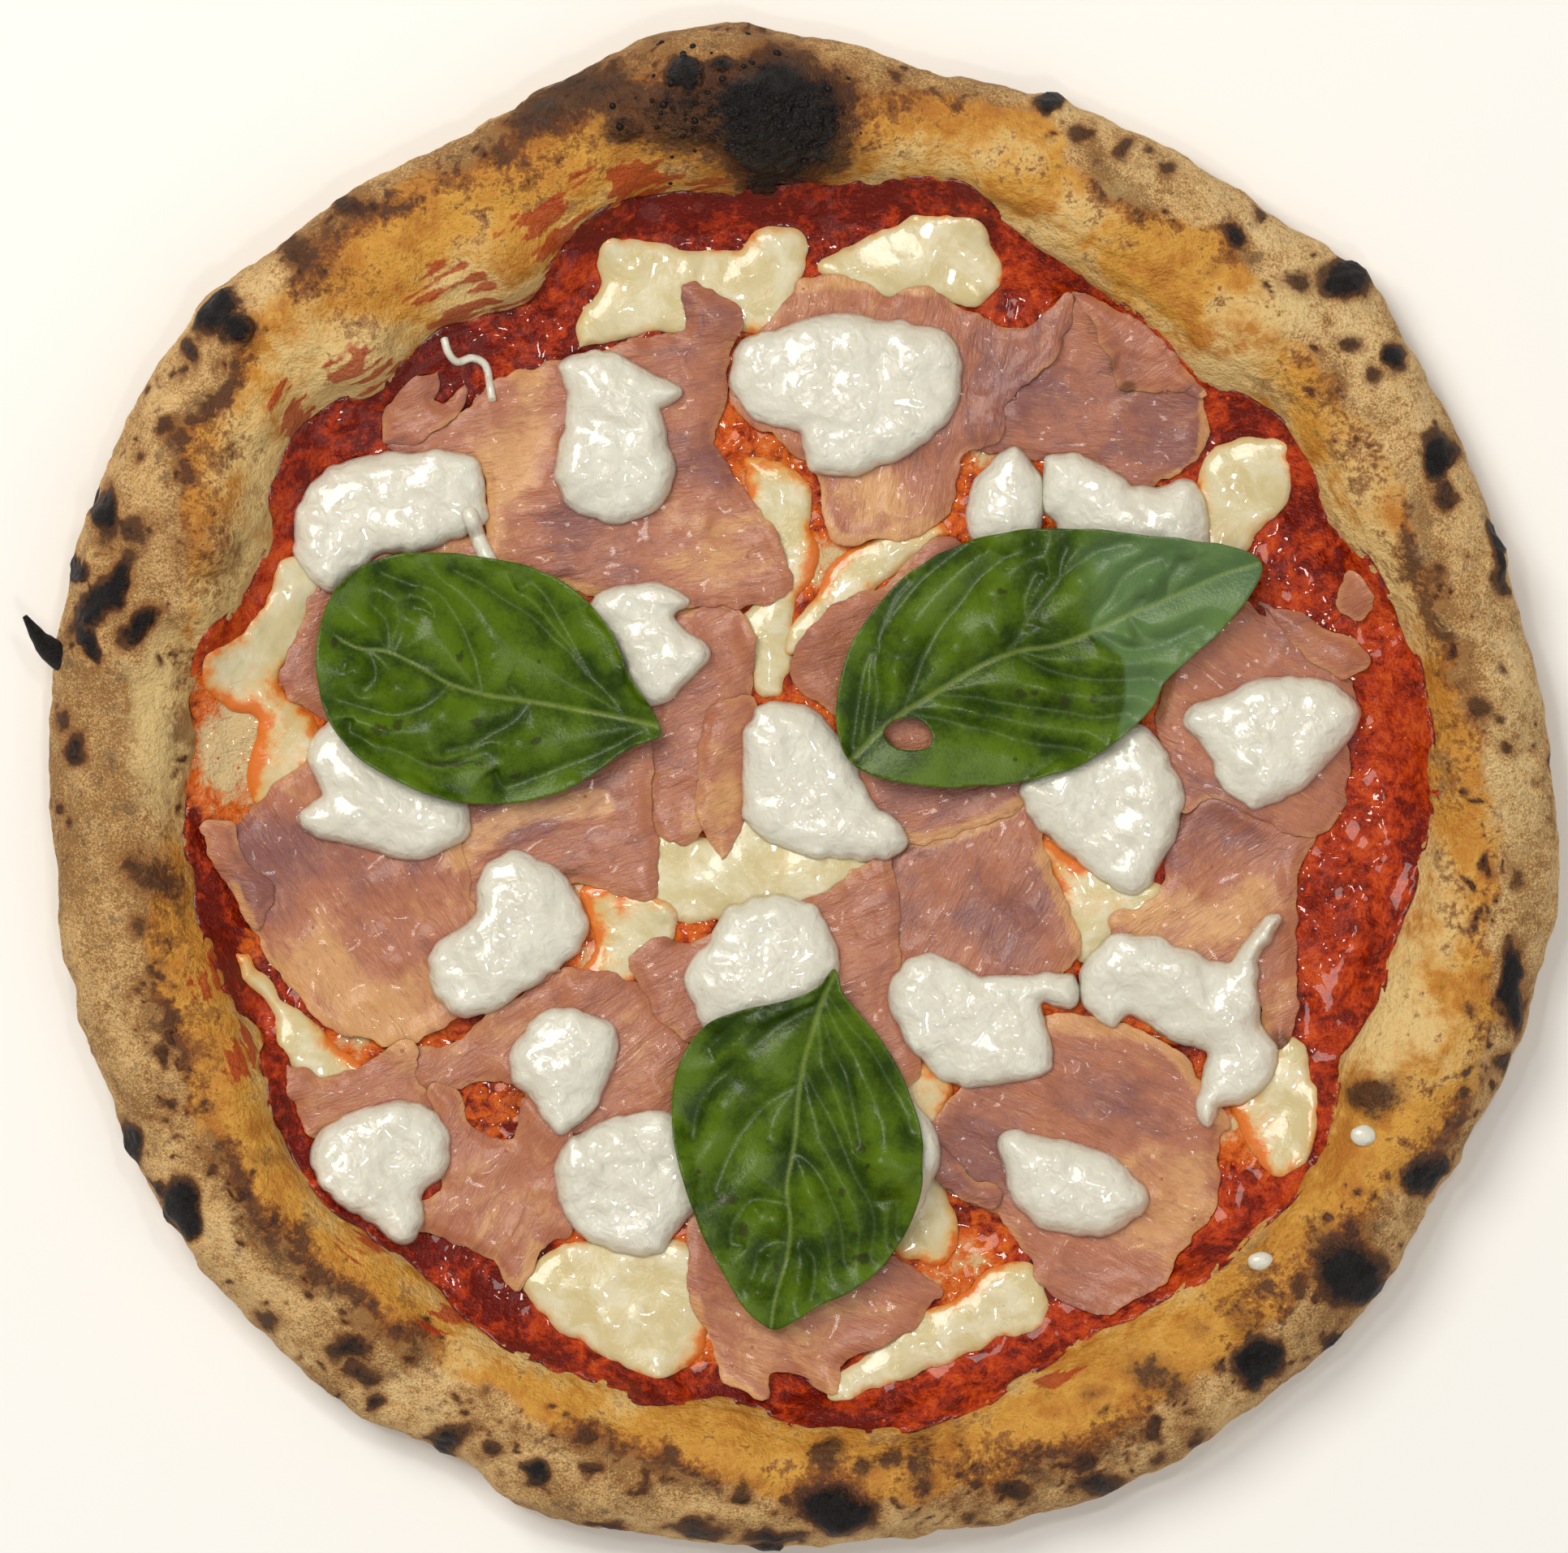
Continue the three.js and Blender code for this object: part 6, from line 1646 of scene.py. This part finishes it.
class PIZZA_OT_mozzarella(bpy.types.Operator):
    """Melt the patches of mozzarella"""
    bl_idname = "pizza.mozzarella"
    bl_label = "Mozzarella"

    def execute(self, context):
        lay_all(context, numbered_nodes("mozzarella"), 100, 1, mozzarella_material, build_mozzarella)
        return {"FINISHED"}


class PIZZA_OT_ham(bpy.types.Operator):
    """Lay the slices of ham"""
    bl_idname = "pizza.ham"
    bl_label = "Ham"

    def execute(self, context):
        lay_all(context, numbered_nodes("ham"), 600, 3, ham_material, build_ham)
        return {"FINISHED"}


class PIZZA_OT_stracciatella(bpy.types.Operator):
    """Spoon on the stracciatella"""
    bl_idname = "pizza.stracciatella"
    bl_label = "Stracciatella"

    def execute(self, context):
        nodes = numbered_nodes("stracciatella")
        material = lay_all(context, nodes, 2000, 5, cream_material, build_dollop)
        group = thread_group()
        for number, (radius, line) in enumerate(THREADS, 1):
            path = smooth_curve(plan(line), 0.6 * MM, closed=False)
            height = smooth_round(BAKERY["surface"].height_at(path)[:, None], 3)
            thread = line_object(f"cream_thread_{number}", np.hstack([path, height + 0.5 * radius * MM]))
            grow(thread, group, {"Radius": radius * MM, "Material": material})
            belongs(thread, "stracciatella")
        for number, spot in enumerate(RIM_DROPS, 1):
            build_drop(BAKERY["surface"], f"cream_drop_{number}", spot, material)
        return {"FINISHED"}


class PIZZA_OT_basil(bpy.types.Operator):
    """Lay the basil leaves"""
    bl_idname = "pizza.basil"
    bl_label = "Basil"

    def execute(self, context):
        lay_all(context, LEAVES, 700, 1, leaf_material, build_leaf)
        return {"FINISHED"}


class PIZZA_OT_oil(bpy.types.Operator):
    """Scatter beads of oil and whey on the toppings that show"""
    bl_idname = "pizza.oil"
    bl_label = "Oil Beads"

    def execute(self, context):
        settings = settings_of(context)[1]
        beads = {"ham": (6000.0, settings.ham), "mozzarella": (7000.0, settings.mozzarella_white),
                 "tomato_sauce": (9000.0, settings.sauce_bright)}
        for seed, (kind, (density, tint)) in enumerate(beads.items(), 11):
            vertices, faces = BAKERY["surface"].skin(kind)
            wet = plain_material(kind + "_bead", tint, 0.08)
            drops = make_piece(kind + "_beads", vertices, faces, wet, {"bubbly": np.ones(len(vertices))})
            grow(drops, BAKERY["scatter"], {
                "Density": density, "Smallest": 0.12 * MM, "Largest": 0.4 * MM, "Flatness": 0.5,
                "Seed": seed, "Material": wet})
            belongs(drops, kind)
        return {"FINISHED"}


class PIZZA_OT_stage(bpy.types.Operator):
    """Set the floor, the lights and the camera"""
    bl_idname = "pizza.stage"
    bl_label = "Stage"

    def execute(self, context):
        settings = settings_of(context)[2]
        add_floor(settings)
        add_lights(settings)
        add_camera(settings)
        context.scene.view_settings.view_transform = "Standard"
        return {"FINISHED"}


def add_floor(settings):
    HALF_WIDTH, GAP = 3.0, 0.2 * MM
    corners = np.array([(-1, -1, 0), (1, -1, 0), (1, 1, 0), (-1, 1, 0)]) * HALF_WIDTH - (0, 0, GAP)
    material = plain_material("plain_floor", settings.floor, 0.9)
    make_piece("floor", corners, np.array([[0, 1, 2], [0, 2, 3]]), material)


def add_light(name, place, size, power, tint):
    """A square light that points at the pizza's middle."""
    light = bpy.data.lights.new(name, "AREA")
    light.shape = "SQUARE"
    light.size = size
    light.energy = power
    light.color = tint
    lamp = add_object(name, light)
    lamp.location = place
    lamp.rotation_euler = (-Vector(place)).to_track_quat("-Z", "Y").to_euler()


def add_lights(settings):
    """A warm key light and a cool fill, both large and soft, and three small ones for the glints."""
    WARM, COOL, GLINT = (1.0, 0.97, 0.92), (0.97, 0.98, 1.0), (1.0, 0.97, 0.93)
    FILL_SHARE, GLINT_SHARE, GLINT_SIZE = 0.27, 0.11, 0.12
    add_light("key_light", (-0.75, 0.8, 1.7), 0.85, settings.key_power, WARM)
    add_light("fill_light", (1.0, -0.8, 1.9), 1.6, FILL_SHARE * settings.key_power, COOL)
    for number, place in enumerate([(-0.35, 0.2, 1.7), (0.25, 0.45, 1.8), (0.15, -0.4, 1.75)], 1):
        add_light(f"small_light_{number}", place, GLINT_SIZE, GLINT_SHARE * settings.key_power, GLINT)
    world = bpy.data.worlds.new("studio")
    world.use_nodes = True
    backdrop = world.node_tree.nodes["Background"]
    backdrop.inputs["Color"].default_value = (1.0, 0.985, 0.955, 1)
    backdrop.inputs["Strength"].default_value = settings.fill
    bpy.context.scene.world = world


def add_camera(settings):
    """Looks straight down. Its lens frames the photograph's width at the rim's mean height."""
    MEAN_HEIGHT = 14 * MM
    middle = plan((PHOTO_WIDTH / 2, PHOTO_HEIGHT / 2))[0]
    view_width = PHOTO_WIDTH * PIXEL
    camera = bpy.data.cameras.new("camera")
    camera.sensor_width = 36
    camera.lens = camera.sensor_width * (settings.camera_height - MEAN_HEIGHT) / view_width
    camera.clip_end = 20
    holder = add_object("camera", camera)
    holder.location = (*middle, settings.camera_height)
    bpy.context.scene.camera = holder


class PIZZA_PT_panel(bpy.types.Panel):
    """Lists the steps in the order in which they are taken"""
    bl_idname = "PIZZA_PT_panel"
    bl_label = "Pizza"
    bl_space_type = "VIEW_3D"
    bl_region_type = "UI"
    bl_category = "Pizza"

    def draw(self, context):
        for operator in STEPS:
            self.layout.operator(operator.bl_idname)


SETTINGS = {"pizza_crust": CrustSettings, "pizza_toppings": ToppingSettings, "pizza_stage": StageSettings}
STEPS = (PIZZA_OT_stage, PIZZA_OT_crust, PIZZA_OT_sauce, PIZZA_OT_mozzarella, PIZZA_OT_ham,
         PIZZA_OT_stracciatella, PIZZA_OT_basil, PIZZA_OT_oil)
CLASSES = (*SETTINGS.values(), *STEPS, PIZZA_PT_panel)


def register():
    for item in CLASSES:
        bpy.utils.register_class(item)
    for name, group in SETTINGS.items():
        setattr(bpy.types.Scene, name, PointerProperty(type=group))


def unregister():
    for name in SETTINGS:
        delattr(bpy.types.Scene, name)
    for item in reversed(CLASSES):
        bpy.utils.unregister_class(item)


def main():
    """Takes the steps in order."""
    register()
    for operator in STEPS:
        group, name = operator.bl_idname.split(".")
        getattr(getattr(bpy.ops, group), name)()


if __name__ == "__main__":
    main()
